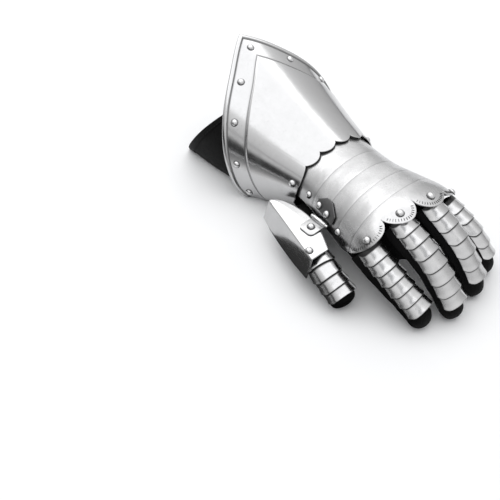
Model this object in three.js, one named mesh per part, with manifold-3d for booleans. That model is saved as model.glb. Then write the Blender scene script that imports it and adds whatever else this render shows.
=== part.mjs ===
// A steel gauntlet for the left hand, lying palm down, in millimetres with +Z up.
// The fingers point along -Y, the thumb is on the -X side and the cuff opens toward +Y.
import * as THREE from "three";
import { mergeVertices } from "three/addons/utils/BufferGeometryUtils.js";
import Module from "manifold-3d";

const wasm = await Module();
wasm.setup();

// ---------------------------------------------------------------- driving dimensions

const PLATE = 1.2; // thickness of the cuff, the hand plate and the thumb plate
const SCALE = 0.9; // thickness of the finger scales
const LEATHER = 2; // wall of the glove
const GAP = 0.35; // clearance between pieces that touch

// The origin is at the middle of the footprint. The tables below run from the peak of the cuff.
const PEAK = { x: 14.5, y: 154 };

// Sections of the hand and wrist, across the Y axis. Each is an arch about (x, centre):
// "half" is its half width, "top" its highest point and "power" how square its shoulders are.
const HAND = [
  { y: -118, x: 0, half: 47.2, top: 67.8, centre: 36, power: 2 },
  { y: -139, x: 0, half: 47.6, top: 68.2, centre: 36, power: 2 },
  { y: -155, x: -2.5, half: 47, top: 69, centre: 36.5, power: 2 },
  { y: -190, x: -9, half: 49.5, top: 73.5, centre: 38, power: 2 },
  { y: -215, x: -12, half: 53.5, top: 77.5, centre: 39, power: 2.15 },
  { y: -245, x: -15.5, half: 57.5, top: 81, centre: 40, power: 2.4 },
  { y: -270, x: -17, half: 57, top: 76, centre: 38, power: 2.4 },
];

// The cuff is a closed cone about a line at AXIS height, flat where it lies on the ground.
const AXIS = 36;
const PEAK_ROUND = 14; // degrees over which the cone is round behind the peak
const FLARE = 1.18; // how much the cone opens out toward its rim
const WRIST = { y: -147, half: 49.8, top: 70.4 };
const RIM = [
  { angle: 0, radius: 82.5, y: 0 },
  { angle: 27, radius: 74.4, y: -27 },
  { angle: 56, radius: 73, y: -48.6 },
  { angle: 86, radius: 73, y: -66 },
  { angle: 112, radius: 73.5, y: -80 },
  { angle: 126, radius: 70, y: -85 },
  { angle: 150, radius: 66, y: -90 },
  { angle: 180, radius: 65, y: -92 },
];
// The rim in section: distance from the edge, how far the outside and the inside stand off.
const RIM_ROLL = [
  { reach: 0, out: 0.4, in: 0.4 },
  { reach: 1.2, out: 2, in: 1 },
  { reach: 3.2, out: 2, in: 1 },
  { reach: 4.6, out: 0, in: 0 },
  { reach: 14, out: 0, in: 0 },
  { reach: 23, out: 0, in: 0 },
  { reach: 25, out: 0.8, in: -0.8 },
];
const BAND_RIVETS = [
  { angle: 0, reach: 14.5 },
  { angle: 27, reach: 11.5 },
  { angle: 56, reach: 11.5 },
  { angle: 86, reach: 11.5 },
  { angle: 111, reach: 11.5 },
];
const WRIST_LOBES = [0, 31, 56, 104]; // angles of the notches in the wrist edge
const WRIST_LOBE_DEPTH = 5;
const WRIST_NOTCH_Y = -139.5;
const CUFF_SIDE_RIVET = { angle: 79, y: -137 };

// The hand plate ends in one lobe for each finger.
const HAND_SIDE = 93; // angle of its lower edges
const HAND_REAR_Y = -126;
const LOBES = [
  { from: -93, to: -43, fromY: -220, toY: -250, bulge: 15 },
  { from: -43, to: 1.6, fromY: -250, toY: -245.5, bulge: 12.5 },
  { from: 1.6, to: 43, fromY: -245.5, toY: -242, bulge: 14.5 },
  { from: 43, to: 93, fromY: -242, toY: -216, bulge: 19 },
];
const LOBE_RIVETS = [
  { finger: "little", angle: -65, y: -249.5 },
  { finger: "ring", angle: -23, y: -250.5 },
  { finger: "middle", angle: 25, y: -248 },
  { finger: "index", angle: 64, y: -243 },
];
const CREASES = [-166, -187, -208, -229]; // where the bands of the hand plate meet
const CREASE_RISE = 0.6;

// Fingers: centre lines through three points, the radius of the glove, the number of scales and
// how far along the centre line the first and the last of them end.
const FINGERS = [
  {
    name: "index",
    line: [[-60, -238, 48], [-56, -274, 26.5], [-52, -299, 11]],
    radius: 11.3, scales: 6, first: 15, last: 70, lean: 0,
  },
  {
    name: "middle",
    line: [[-31, -243, 63.5], [-26.5, -280, 40.5], [-23.5, -310, 11]],
    radius: 11.3, scales: 7, first: 13.5, last: 84.5, lean: -4,
  },
  {
    name: "ring",
    line: [[3, -245, 63.5], [7.5, -280, 40.5], [10, -306, 11]],
    radius: 11.3, scales: 6, first: 15.5, last: 77, lean: -13,
  },
  {
    name: "little",
    line: [[30.5, -244, 48.5], [35.5, -276, 31], [38, -296, 10.5]],
    radius: 10.8, scales: 5, first: 15.5, last: 61, lean: -25,
  },
  {
    name: "thumb",
    line: [[-36, -156, 21], [-60, -165, 23], [-77.5, -192, 25], [-86.8, -218, 23], [-87.5, -245, 10.6]],
    radius: 10.8, scales: 4, first: 86, last: 116, lean: 33,
  },
];
const SCALE_SPAN = 56; // half of the angle that a scale covers
const SCALE_OVERLAP = 3.2;
const SCALE_STAND = 1.1; // clearance between the glove and a scale
const SCALE_RISE = 1.5; // how far the front edge of a scale stands off, over the next one

const RIVET = { radius: 3.4, height: 2.5, shank: 1.5, sides: 8 };
const SHANK = 2.2;

// The thumb plate is a strip folded along a crease: a flat top and a steep outer side. Each row
// is a section, with x at the inner edge, the crease and the lower edge of the side.
const THUMB_TOP = 41;
const THUMB_PLATE = [
  { y: -137, inner: -74.5, crease: -78, lower: -84.5, lowerZ: 23 },
  { y: -141, inner: -70.5, crease: -79, lower: -85.6, lowerZ: 22 },
  { y: -150, inner: -66.5, crease: -81.2, lower: -88, lowerZ: 20 },
  { y: -162, inner: -64, crease: -84.2, lower: -91, lowerZ: 18.5 },
  { y: -176, inner: -64, crease: -87.8, lower: -94.5, lowerZ: 18 },
  { y: -196, inner: -69, crease: -93, lower: -99.5, lowerZ: 19 },
  { y: -215, inner: -79, crease: -98, lower: -103.5, lowerZ: 20.5 },
];
const THUMB_RIVET = { y: -206, across: -93 };

// The hinge between the thumb plate and the hand plate turns on a pin along Y.
const PIN = { x: -62.9, z: 43, radius: 1.5, fromY: -177, toY: -197 };
const LEAF = { thickness: 1, width: 15, rivetX: -73, round: 8 };
const HAND_LEAF = [
  { angle: 64, fromY: -182, toY: -190 },
  { angle: 72, fromY: -173, toY: -201 },
  { angle: 81, fromY: -173, toY: -200 },
];
const HAND_LEAF_RIVETS = [
  { angle: 76.5, y: -177.5 },
  { angle: 76.5, y: -190.5 },
];
const SIDE_RIVETS = [
  { side: "thumb_side", angle: 79, y: -158 },
  { side: "thumb_side", angle: 81, y: -210 },
  { side: "outer_side", angle: -82, y: -168 },
  { side: "outer_side", angle: -82, y: -187 },
  { side: "outer_side", angle: -82, y: -206 },
  { side: "outer_side", angle: -82, y: -222 },
];

// ---------------------------------------------------------------- materials

const steel = new THREE.MeshStandardMaterial({
  color: 0xc9cacc, roughness: 0.28, metalness: 1,
});
const leather = new THREE.MeshStandardMaterial({
  color: 0x17171a, roughness: 0.62, metalness: 0,
});

// ---------------------------------------------------------------- small maths

const radians = THREE.MathUtils.degToRad;
const lerp = THREE.MathUtils.lerp;

const range = (from, to, steps) =>
  Array.from({ length: steps + 1 }, (_, i) => lerp(from, to, i / steps));

// Reads one column of a table at a place along another, by smooth interpolation.
function read(table, key, place, column) {
  const rising = table.at(-1)[key] > table[0][key];
  const rows = rising ? table : [...table].reverse();
  const last = rows.length - 2;
  let i = rows.findIndex((row) => row[key] > place) - 1;
  i = i < 0 ? (place < rows[0][key] ? 0 : last) : i;
  const [a, b] = [rows[i], rows[i + 1]];
  const slope = (p, q) => (q[column] - p[column]) / (q[key] - p[key]);
  const run = b[key] - a[key];
  const t = (place - a[key]) / run;
  const chord = slope(a, b);
  const start = i > 0 ? (slope(rows[i - 1], a) + chord) / 2 : chord;
  const end = i < last ? (chord + slope(b, rows[i + 2])) / 2 : chord;
  if (t < 0) return a[column] + start * t * run;
  if (t > 1) return b[column] + end * (t - 1) * run;
  return (
    a[column] * (1 + 2 * t) * (1 - t) ** 2 +
    start * run * t * (1 - t) ** 2 +
    b[column] * t * t * (3 - 2 * t) +
    end * run * t * t * (t - 1)
  );
}

// ---------------------------------------------------------------- solids from surfaces

function closed(points, triangles) {
  const geometry = new THREE.BufferGeometry()
    .setAttribute("position", new THREE.Float32BufferAttribute(points, 3))
    .setIndex(triangles);
  const merged = mergeVertices(geometry, 1e-3);
  const index = merged.index.array;
  const kept = [];
  for (let i = 0; i < index.length; i += 3) {
    const [a, b, c] = index.slice(i, i + 3);
    if (a !== b && b !== c && c !== a) kept.push(a, b, c);
  }
  return merged.setIndex(kept);
}

// A wall between an outside (face 1) and an inside (face 0), over a grid of columns and rows.
// place(column, row, face) gives a point. Columns run round the piece and may wrap.
function wall(columns, rows, place, wraps = false) {
  const points = [];
  for (const face of [1, 0])
    for (const row of rows)
      for (const column of columns) points.push(...place(column, row, face).toArray());
  const across = columns.length;
  const sheet = across * rows.length;
  const at = (face, i, j) => (face ? 0 : sheet) + j * across + (i % across);
  const triangles = [];
  const quad = (a, b, c, d) => triangles.push(a, b, c, a, c, d);
  const spans = wraps ? across : across - 1;
  for (let j = 0; j < rows.length - 1; j++)
    for (let i = 0; i < spans; i++) {
      quad(at(1, i, j), at(1, i + 1, j), at(1, i + 1, j + 1), at(1, i, j + 1));
      quad(at(0, i, j), at(0, i, j + 1), at(0, i + 1, j + 1), at(0, i + 1, j));
    }
  const end = rows.length - 1;
  for (let i = 0; i < spans; i++) {
    quad(at(1, i, 0), at(0, i, 0), at(0, i + 1, 0), at(1, i + 1, 0));
    quad(at(1, i, end), at(1, i + 1, end), at(0, i + 1, end), at(0, i, end));
  }
  if (!wraps)
    for (let j = 0; j < end; j++) {
      quad(at(1, 0, j), at(1, 0, j + 1), at(0, 0, j + 1), at(0, 0, j));
      quad(at(1, spans, j), at(0, spans, j), at(0, spans, j + 1), at(1, spans, j + 1));
    }
  return closed(points, triangles);
}

// The unit normal of surface(a, b), pointing to the side where a runs anticlockwise about b.
function normalOf(surface, a, b, stepA, stepB) {
  const alongA = surface(a + stepA, b).sub(surface(a - stepA, b));
  const alongB = surface(a, b + stepB).sub(surface(a, b - stepB));
  return alongA.cross(alongB).normalize();
}

function solidOf(geometry) {
  const plain = new THREE.BufferGeometry()
    .setAttribute("position", geometry.getAttribute("position"))
    .setIndex(geometry.index);
  const merged = mergeVertices(plain, 1e-4);
  return new wasm.Manifold(
    new wasm.Mesh({
      numProp: 3,
      vertProperties: new Float32Array(merged.getAttribute("position").array),
      triVerts: new Uint32Array(merged.index.array),
    }),
  );
}

function geometryOf(solid) {
  const mesh = solid.getMesh();
  return new THREE.BufferGeometry()
    .setAttribute("position", new THREE.BufferAttribute(mesh.vertProperties, 3))
    .setIndex(new THREE.BufferAttribute(mesh.triVerts, 1));
}

const gauntlet = new THREE.Group();
gauntlet.position.set(PEAK.x, PEAK.y, 0);

function add(name, geometry, material) {
  const mesh = new THREE.Mesh(geometry, material);
  mesh.name = name;
  gauntlet.add(mesh);
  return mesh;
}

// ---------------------------------------------------------------- the cuff

// A radius at an angle from the top of the arch, positive toward the thumb.
function archRadius(angle, half, height, power) {
  const side = Math.abs(Math.sin(radians(angle)) / half) ** power;
  const up = Math.abs(Math.cos(radians(angle)) / height) ** power;
  return (side + up) ** (-1 / power);
}

function rimPoint(angle) {
  const place = Math.abs(angle);
  const radius = read(RIM, "angle", place, "radius");
  return new THREE.Vector3(
    -radius * Math.sin(radians(angle)),
    read(RIM, "angle", place, "y"),
    AXIS + radius * Math.cos(radians(angle)),
  );
}

function wristPoint(angle) {
  const below = Math.abs(angle) > 90;
  const height = below ? AXIS + 3 : WRIST.top - AXIS;
  const radius = archRadius(angle, WRIST.half, height, 2);
  return new THREE.Vector3(
    -radius * Math.sin(radians(angle)),
    WRIST.y,
    AXIS + radius * Math.cos(radians(angle)),
  );
}

// The outside of the cuff, "down" the cone from the rim at 0 to the wrist at 1. The rim runs up to
// a point, but the cone that it is cut from is round behind it.
function cuffSurface(angle, down) {
  const rounded = Math.abs(angle) * (1 - Math.exp(-((angle / PEAK_ROUND) ** 2)));
  const full = rimPoint(rounded);
  const wrist = wristPoint(angle);
  const y = lerp(rimPoint(angle).y, wrist.y, down);
  const share = 1 - ((y - wrist.y) / (full.y - wrist.y)) ** FLARE;
  const radius = read(RIM, "angle", rounded, "radius");
  const x = lerp(-radius * Math.sin(radians(angle)), wrist.x, share);
  const z = lerp(AXIS + radius * Math.cos(radians(angle)), wrist.z, share);
  return new THREE.Vector3(x, y, Math.max(z, 0));
}

const cuffNormal = (angle, down) => normalOf(cuffSurface, angle, down, 0.5, 0.004);

// How far down the cone a distance from the rim is. The border keeps its width on the slant.
function downFromRim(angle, reach) {
  const length = rimPoint(angle).y - WRIST.y;
  const turn = rimPoint(angle + 1).sub(rimPoint(angle - 1));
  const ahead = rimPoint(Math.abs(angle) + 2).sub(rimPoint(Math.abs(angle)));
  const slope = Math.abs(angle) < 3 ? ahead : turn;
  const slant = slope.length() / Math.hypot(slope.x, slope.z);
  return (reach * slant) / length;
}

// The wrist edge is scalloped over the back of the hand and plain below.
function wristEdgeY(angle) {
  const place = Math.abs(angle);
  const lobe = WRIST_LOBES.findIndex((notch) => place < notch);
  if (lobe < 1) return WRIST_NOTCH_Y;
  const p = (place - WRIST_LOBES[lobe - 1]) / (WRIST_LOBES[lobe] - WRIST_LOBES[lobe - 1]);
  return WRIST_NOTCH_Y - WRIST_LOBE_DEPTH * (4 * p * (1 - p)) ** 0.8;
}

function downAtY(angle, y) {
  const rim = rimPoint(angle).y;
  return (rim - y) / (rim - WRIST.y);
}

function cuffPlate() {
  const half = [0, 7, 15.5, 24, 31, 37, 43.5, 50, 56, 66, 76, 86, 95, 104];
  const under = [112, 120, 135, 155];
  const steps = [...half, ...under];
  const columns = [180, ...steps.slice(1).reverse(), 0, ...steps.slice(1).map((a) => -a)];
  const border = RIM_ROLL.map((row) => ({ ...row, body: null }));
  const body = [0.3, 0.65, 1].map((share) => ({ body: share, out: 0.8, in: -0.8 }));
  const place = (angle, row, face) => {
    const step = downFromRim(angle, RIM_ROLL.at(-1).reach);
    const wrist = downAtY(angle, wristEdgeY(angle));
    const down = row.body === null ? downFromRim(angle, row.reach) : lerp(step, wrist, row.body);
    const fade = row.body === null ? 1 : 1 - row.body;
    const off = face ? row.out * fade : -PLATE + -row.in * fade;
    const point = cuffSurface(angle, down);
    const lifted = point.clone().addScaledVector(cuffNormal(angle, down), off);
    const ground = face ? 0 : PLATE;
    lifted.z = point.z > 0 ? Math.max(lifted.z, ground) : ground;
    return lifted;
  };
  return wall(columns.reverse(), [...border, ...body], place, true);
}

// ---------------------------------------------------------------- the hand

function handSurface(angle, y, inset = 0) {
  const row = Object.fromEntries(
    ["x", "half", "top", "centre", "power"].map((column) => [column, read(HAND, "y", y, column)]),
  );
  const height = row.top - row.centre - inset;
  const radius = archRadius(angle, row.half - inset, height, row.power);
  return new THREE.Vector3(
    row.x - radius * Math.sin(radians(angle)),
    y,
    row.centre + radius * Math.cos(radians(angle)),
  );
}

const handNormal = (angle, y) => normalOf(handSurface, angle, y, -0.5, 0.5);

function lobeEdgeY(angle) {
  const lobe = LOBES.find((row) => angle <= row.to) ?? LOBES.at(-1);
  const p = THREE.MathUtils.clamp((angle - lobe.from) / (lobe.to - lobe.from), 0, 1);
  return lerp(lobe.fromY, lobe.toY, p) - lobe.bulge * (4 * p * (1 - p)) ** 0.6;
}

// Each band of the plate is slightly domed between two creases.
function creaseLift(y) {
  const edges = [-144, ...CREASES, -262];
  const band = edges.findIndex((edge, i) => i > 0 && y >= edge);
  if (y > edges[0] || band < 1) return 0;
  const p = (edges[band - 1] - y) / (edges[band - 1] - edges[band]);
  return CREASE_RISE * (4 * p * (1 - p)) ** 0.7;
}

function handPlate() {
  const inner = LOBES.flatMap((lobe) => range(lobe.from, lobe.to, 6).slice(1));
  const columns = [-HAND_SIDE, ...inner];
  const rear = [HAND_REAR_Y, -144];
  const bands = [-155, -166, -176.5, -187, -197.5, -208];
  const rows = [
    ...[...rear, ...bands].map((y) => ({ y, share: null })),
    ...[0.35, 0.7, 1].map((share) => ({ y: bands.at(-1), share })),
  ];
  const place = (angle, row, face) => {
    const y = row.share === null ? row.y : lerp(row.y, lobeEdgeY(angle), row.share);
    const off = row.y < -144 ? creaseLift(y) : 0;
    return handSurface(angle, y).addScaledVector(handNormal(angle, y), face ? off : off - PLATE);
  };
  return wall(columns, rows, place);
}

// ---------------------------------------------------------------- the glove

// The sleeve of the glove, inside the cuff and out past its rim, flat where it lies. "round" is
// how much of the round of the underside is cut off by the flat.
const SLEEVE = [
  { y: 20, x: 0, half: 70, top: 79, centre: 30, power: 2.3, floor: 0, round: 22 },
  { y: -40, x: 0, half: 67.5, top: 79, centre: 32, power: 2.3, floor: 0, round: 22 },
  { y: -72, x: 0, half: 62.5, top: 75, centre: 34, power: 2.2, floor: 0, round: 18 },
  { y: -82, x: 0, half: 58, top: 73, centre: 34.5, power: 2.1, floor: 1.6, round: 8 },
  { y: -96, x: 0, half: 52.5, top: 70, centre: 35, power: 2.05, floor: 1.6, round: 3 },
  { y: -118, x: 0, half: 45.8, top: 66, centre: 36, power: 2, floor: 1.6, round: 2 },
];
// Under the hand plate the glove follows it, and its palm arches up from the ground.
const PALM = [
  { y: -118, floor: 1.6, round: 2 },
  { y: -142, floor: 1.8, round: 2 },
  { y: -165, floor: 5, round: 5 },
  { y: -190, floor: 13, round: 6 },
  { y: -215, floor: 22, round: 6 },
  { y: -245, floor: 32, round: 5 },
];
const GLOVE_CLEARANCE = PLATE + 0.7;

function gloveSection(y) {
  const table = y > SLEEVE_FRONT ? SLEEVE : HAND;
  const get = (column) => read(table, "y", y, column);
  const inset = table === HAND ? GLOVE_CLEARANCE : 0;
  const below = table === HAND ? PALM : SLEEVE;
  return {
    x: get("x"),
    half: get("half") - inset,
    top: get("top") - inset,
    centre: get("centre"),
    power: get("power"),
    floor: Math.max(read(below, "y", y, "floor"), 0),
    round: read(below, "y", y, "round"),
  };
}

function gloveSurface(angle, y, inset) {
  const { x, half, top, centre, power, floor, round } = gloveSection(y);
  const height = (Math.abs(angle) > 90 ? centre - floor + round : top - centre) - inset;
  const radius = archRadius(angle, half - inset, height, power);
  return new THREE.Vector3(
    x - radius * Math.sin(radians(angle)),
    y,
    Math.max(centre + radius * Math.cos(radians(angle)), floor + inset),
  );
}

const ROUND = range(-180, 180, 20).slice(1);

function gloveWall(rows, yOf = (row) => row) {
  const place = (angle, row, face) => gloveSurface(angle, yOf(row, angle), face ? 0 : LEATHER);
  return wall(ROUND, rows, place, true);
}

function handAxis(y) {
  const { x, centre } = gloveSection(y);
  return new THREE.Vector3(x, y, centre);
}

// The filled shape of a stretch of the glove, or of a finger, for cutting its neighbours.
function filled(columns, rows, place, axis) {
  return solidOf(wall(columns, rows, (a, row, face) => (face ? place(a, row) : axis(row)), true));
}

// The mouth of the sleeve slopes: its lower edge lies furthest back.
function mouthY(angle) {
  return MOUTH.y - MOUTH.slope * gloveSurface(angle, -10, 0).z;
}

const MOUTH = { y: 13, slope: 0.74 };
const SLEEVE_FRONT = -118;
const HAND_FRONT = -233;

// ---------------------------------------------------------------- fingers

// A frame at a distance along a centre line. "aside" points to the thumb side.
function frameAt(finger, along) {
  const curve = new THREE.CatmullRomCurve3(
    finger.line.map(([x, y, z]) => new THREE.Vector3(x, y, z)), false, "centripetal",
  );
  const length = curve.getLength();
  const share = THREE.MathUtils.clamp(along / length, 0, 1);
  const point = curve.getPointAt(share);
  const ahead = curve.getTangentAt(share);
  point.addScaledVector(ahead, along - share * length);
  const lean = radians(finger.lean);
  const up = new THREE.Vector3(-Math.sin(lean), 0, Math.cos(lean));
  const aside = ahead.clone().cross(up).normalize();
  return { point, ahead, aside, up: aside.clone().cross(ahead), length };
}

function aroundFinger(finger, along, angle, radius) {
  const frame = frameAt(finger, along);
  return frame.point
    .addScaledVector(frame.up, radius * Math.cos(radians(angle)))
    .addScaledVector(frame.aside, radius * Math.sin(radians(angle)));
}

const FINGER_ROUND = range(-180, 180, 10).slice(1);

// A finger of the glove, from its root to its round tip, at a distance inside its outside.
function fingerRows(finger) {
  const { length } = frameAt(finger, 0);
  const steps = finger.name === "thumb" ? 7 : 5;
  const rows = range(0, length, steps).map((along) => ({ along, cap: 0 }));
  return [...rows, ...[35, 65, 90].map((cap) => ({ along: length, cap }))];
}

function fingerPoint(finger, angle, row, inset) {
  const radius = finger.radius - inset;
  const along = row.along + radius * Math.sin(radians(row.cap));
  const reach = row.cap === 90 ? 0 : radius * Math.cos(radians(row.cap));
  const point = aroundFinger(finger, along, angle, reach);
  point.z = Math.max(point.z, inset);
  return point;
}

function gloveFinger(finger) {
  const place = (angle, row, face) => fingerPoint(finger, angle, row, face ? 0 : LEATHER);
  return wall(FINGER_ROUND, fingerRows(finger), place, true);
}

// A scale is a stretch of a cone whose front edge stands off over the next scale.
function scaleWall(finger, end, pitch) {
  const back = end - pitch - SCALE_OVERLAP;
  const columns = range(-SCALE_SPAN, SCALE_SPAN, 7);
  const place = (angle, share, face) => {
    const corner = 2.6 * Math.abs(angle / SCALE_SPAN) ** 5;
    const along = lerp(back, end - corner, share);
    const radius = finger.radius + SCALE_STAND + SCALE_RISE * share + (face ? SCALE : 0);
    return aroundFinger(finger, along, angle, radius);
  };
  return wall(columns, [0, 0.5, 1], place);
}

// ---------------------------------------------------------------- the thumb plate and its hinge

function thumbPlate() {
  const columns = [0, 0.35, 0.7, 1, 1.12, 1.5, 2];
  const surface = (column, y) => {
    const get = (name) => read(THUMB_PLATE, "y", y, name);
    const side = Math.max(column - 1, 0);
    return new THREE.Vector3(
      lerp(lerp(get("inner"), get("crease"), Math.min(column, 1)), get("lower"), side),
      y,
      lerp(THUMB_TOP - 1.2 * Math.max(0.35 - column, 0), get("lowerZ"), side ** 1.15),
    );
  };
  const place = (column, row, face) => {
    const normal = normalOf(surface, column, row.y, -0.02, 0.5);
    return surface(column, row.y).addScaledVector(normal, face ? 0 : -PLATE);
  };
  return wall(columns, THUMB_PLATE, place);
}

// The thumb leaf lies on the thumb plate: square at the pin and round at its rivet.
function thumbLeaf() {
  const { thickness, width, rivetX, round } = LEAF;
  const middle = (PIN.fromY + PIN.toY) / 2;
  const shape = new THREE.Shape();
  shape.moveTo(PIN.x - PIN.radius - GAP, middle + width / 2);
  shape.lineTo(rivetX, middle + round);
  shape.absarc(rivetX, middle, round, Math.PI / 2, -Math.PI / 2, false);
  shape.lineTo(PIN.x - PIN.radius - GAP, middle - width / 2);
  shape.closePath();
  const settings = { depth: thickness, bevelEnabled: false, curveSegments: 10 };
  return new THREE.ExtrudeGeometry(shape, settings).translate(0, 0, THUMB_TOP + GAP);
}

// The hand leaf lies on the side of the hand plate, with its upper corners clipped.
function handLeaf() {
  const place = (column, share, face) => {
    const y = lerp(column.fromY, column.toY, share);
    const off = CREASE_RISE + GAP + (face ? LEAF.thickness : 0);
    return handSurface(column.angle, y).addScaledVector(handNormal(column.angle, y), off);
  };
  return wall(HAND_LEAF, [0, 0.5, 1], place);
}

function hingePin() {
  const length = PIN.fromY - PIN.toY;
  return new THREE.CylinderGeometry(PIN.radius, PIN.radius, length, 10).translate(
    PIN.x, (PIN.fromY + PIN.toY) / 2, PIN.z,
  );
}

// ---------------------------------------------------------------- rivets

// A domed head with a shank, standing on the XY plane.
function rivetGeometry(shank = SHANK) {
  const { radius, height, sides } = RIVET;
  const dome = [0, 35, 68].map(
    (angle) => new THREE.Vector2(radius * Math.cos(radians(angle)), height * Math.sin(radians(angle))),
  );
  const profile = [
    new THREE.Vector2(0, -shank),
    new THREE.Vector2(RIVET.shank, -shank),
    new THREE.Vector2(RIVET.shank, 0),
    ...dome,
    new THREE.Vector2(0, height),
  ];
  const lathe = new THREE.LatheGeometry(profile, sides).rotateX(Math.PI / 2);
  lathe.deleteAttribute("normal");
  lathe.deleteAttribute("uv");
  const merged = mergeVertices(lathe, 1e-3);
  return closed([...merged.getAttribute("position").array], [...merged.index.array]);
}

const holes = new Map();
const heads = new Map();
const keep = (map, plate, geometry) => map.set(plate, [...(map.get(plate) ?? []), geometry]);

// The row rivets are hammered flush and are one with their plate: only the head stands out.
function rowRivet(plate, point, normal) {
  const turn = new THREE.Quaternion().setFromUnitVectors(new THREE.Vector3(0, 0, 1), normal);
  const head = rivetGeometry(PLATE / 2).applyQuaternion(turn).translate(...point.toArray());
  keep(heads, plate, head);
}

// Sets a loose rivet through a plate: drills the plate and gives the rivet its place.
function rivet(name, plates, point, normal, shank) {
  const mesh = add(name, rivetGeometry(shank), steel);
  mesh.position.copy(point).addScaledVector(normal, GAP);
  mesh.quaternion.setFromUnitVectors(new THREE.Vector3(0, 0, 1), normal);
  mesh.updateMatrix();
  const drill = new THREE.CylinderGeometry(RIVET.shank + GAP, RIVET.shank + GAP, 8, RIVET.sides)
    .rotateX(Math.PI / 2)
    .applyMatrix4(mesh.matrix);
  for (const plate of plates) keep(holes, plate, drill);
}

// A plate with the heads of its row rivets and the holes for its loose ones.
function riveted(name, geometry) {
  let solid = solidOf(geometry);
  for (const head of heads.get(name) ?? []) solid = solid.add(solidOf(head));
  for (const drill of holes.get(name) ?? []) solid = solid.subtract(solidOf(drill));
  return add(name, geometryOf(solid), steel);
}

// ---------------------------------------------------------------- assembly

for (const { angle, reach } of BAND_RIVETS)
  for (const side of angle ? [1, -1] : [1]) {
    const down = downFromRim(side * angle, reach);
    const point = cuffSurface(side * angle, down);
    rowRivet("cuff_plate", point, cuffNormal(side * angle, down));
  }
for (const side of [1, -1]) {
  const angle = side * CUFF_SIDE_RIVET.angle;
  const down = downAtY(angle, CUFF_SIDE_RIVET.y);
  const name = "wrist_rivet_" + (side > 0 ? "thumb_side" : "outer_side");
  rivet(name, ["cuff_plate"], cuffSurface(angle, down), cuffNormal(angle, down));
}

function onHand(angle, y, off = 0) {
  const normal = handNormal(angle, y);
  return [handSurface(angle, y).addScaledVector(normal, creaseLift(y) + off), normal];
}
for (const { angle, y } of SIDE_RIVETS) rowRivet("hand_plate", ...onHand(angle, y));
for (const { finger, angle, y } of LOBE_RIVETS)
  rivet("lobe_rivet_" + finger, ["hand_plate"], ...onHand(angle, y));

const upright = new THREE.Vector3(0, 0, 1);
HAND_LEAF_RIVETS.forEach(({ angle, y }, i) => {
  const [point, normal] = onHand(angle, y);
  point.addScaledVector(normal, CREASE_RISE - creaseLift(y) + GAP + LEAF.thickness);
  rivet("hinge_rivet_hand_" + (i + 1), ["hinge_leaf_hand", "hand_plate"], point, normal, 4);
});
const leafRivet = new THREE.Vector3(
  LEAF.rivetX, (PIN.fromY + PIN.toY) / 2, THUMB_TOP + GAP + LEAF.thickness,
);
rivet("hinge_rivet_thumb", ["hinge_leaf_thumb", "thumb_plate"], leafRivet, upright, 3.4);
const creaseRivet = new THREE.Vector3(THUMB_RIVET.across, THUMB_RIVET.y, THUMB_TOP);
rivet("thumb_plate_rivet", ["thumb_plate"], creaseRivet, upright);

riveted("cuff_plate", cuffPlate());
riveted("hand_plate", handPlate());
riveted("thumb_plate", thumbPlate());
riveted("hinge_leaf_thumb", thumbLeaf());
riveted("hinge_leaf_hand", handLeaf());
add("hinge_pin", hingePin(), steel);

const sleeveY = (share, angle) => lerp(mouthY(angle), SLEEVE_FRONT, share);
add("glove_sleeve", gloveWall([0, 0.25, 0.5, 0.75, 1], sleeveY), leather);

// The thumb leaves the side of the palm: the palm is cut open into it.
const palmRows = range(SLEEVE_FRONT - GAP, HAND_FRONT, 5);
const palmFilled = filled(
  ROUND, palmRows, (angle, y) => gloveSurface(angle, y, -GAP), (y) => handAxis(y),
);
const thumb = FINGERS.at(-1);
const thumbFilled = filled(
  FINGER_ROUND, fingerRows(thumb), (angle, row) => fingerPoint(thumb, angle, row, LEATHER),
  (row) => frameAt(thumb, row.along + (row.cap ? thumb.radius - LEATHER : 0) * (row.cap === 90)).point,
);
add("glove_hand", geometryOf(solidOf(gloveWall(palmRows)).subtract(thumbFilled)), leather);
for (const finger of FINGERS) {
  const whole = gloveFinger(finger);
  const geometry = finger === thumb ? geometryOf(solidOf(whole).subtract(palmFilled)) : whole;
  add("glove_" + finger.name, geometry, leather);
  const pitch = (finger.last - finger.first) / (finger.scales - 1);
  for (let i = 0; i < finger.scales; i++) {
    const end = finger.first + i * pitch;
    add(finger.name + "_scale_" + (i + 1), scaleWall(finger, end, pitch), steel);
  }
}

export default gauntlet;
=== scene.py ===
# %% [markdown]
# # A steel gauntlet on a black leather glove
# The real thing is a left-hand gauntlet made of thin polished steel: a flared cuff with a point, a
# plate over the back of the hand, a folded plate over the thumb and rows of small scales on the
# fingers, all carried by a glove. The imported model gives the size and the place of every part, and
# the pieces made here give the same parts their rolled edges, seams and finish.

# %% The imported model
import math

import bmesh
import bpy
from mathutils import Matrix, Vector, noise


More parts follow.
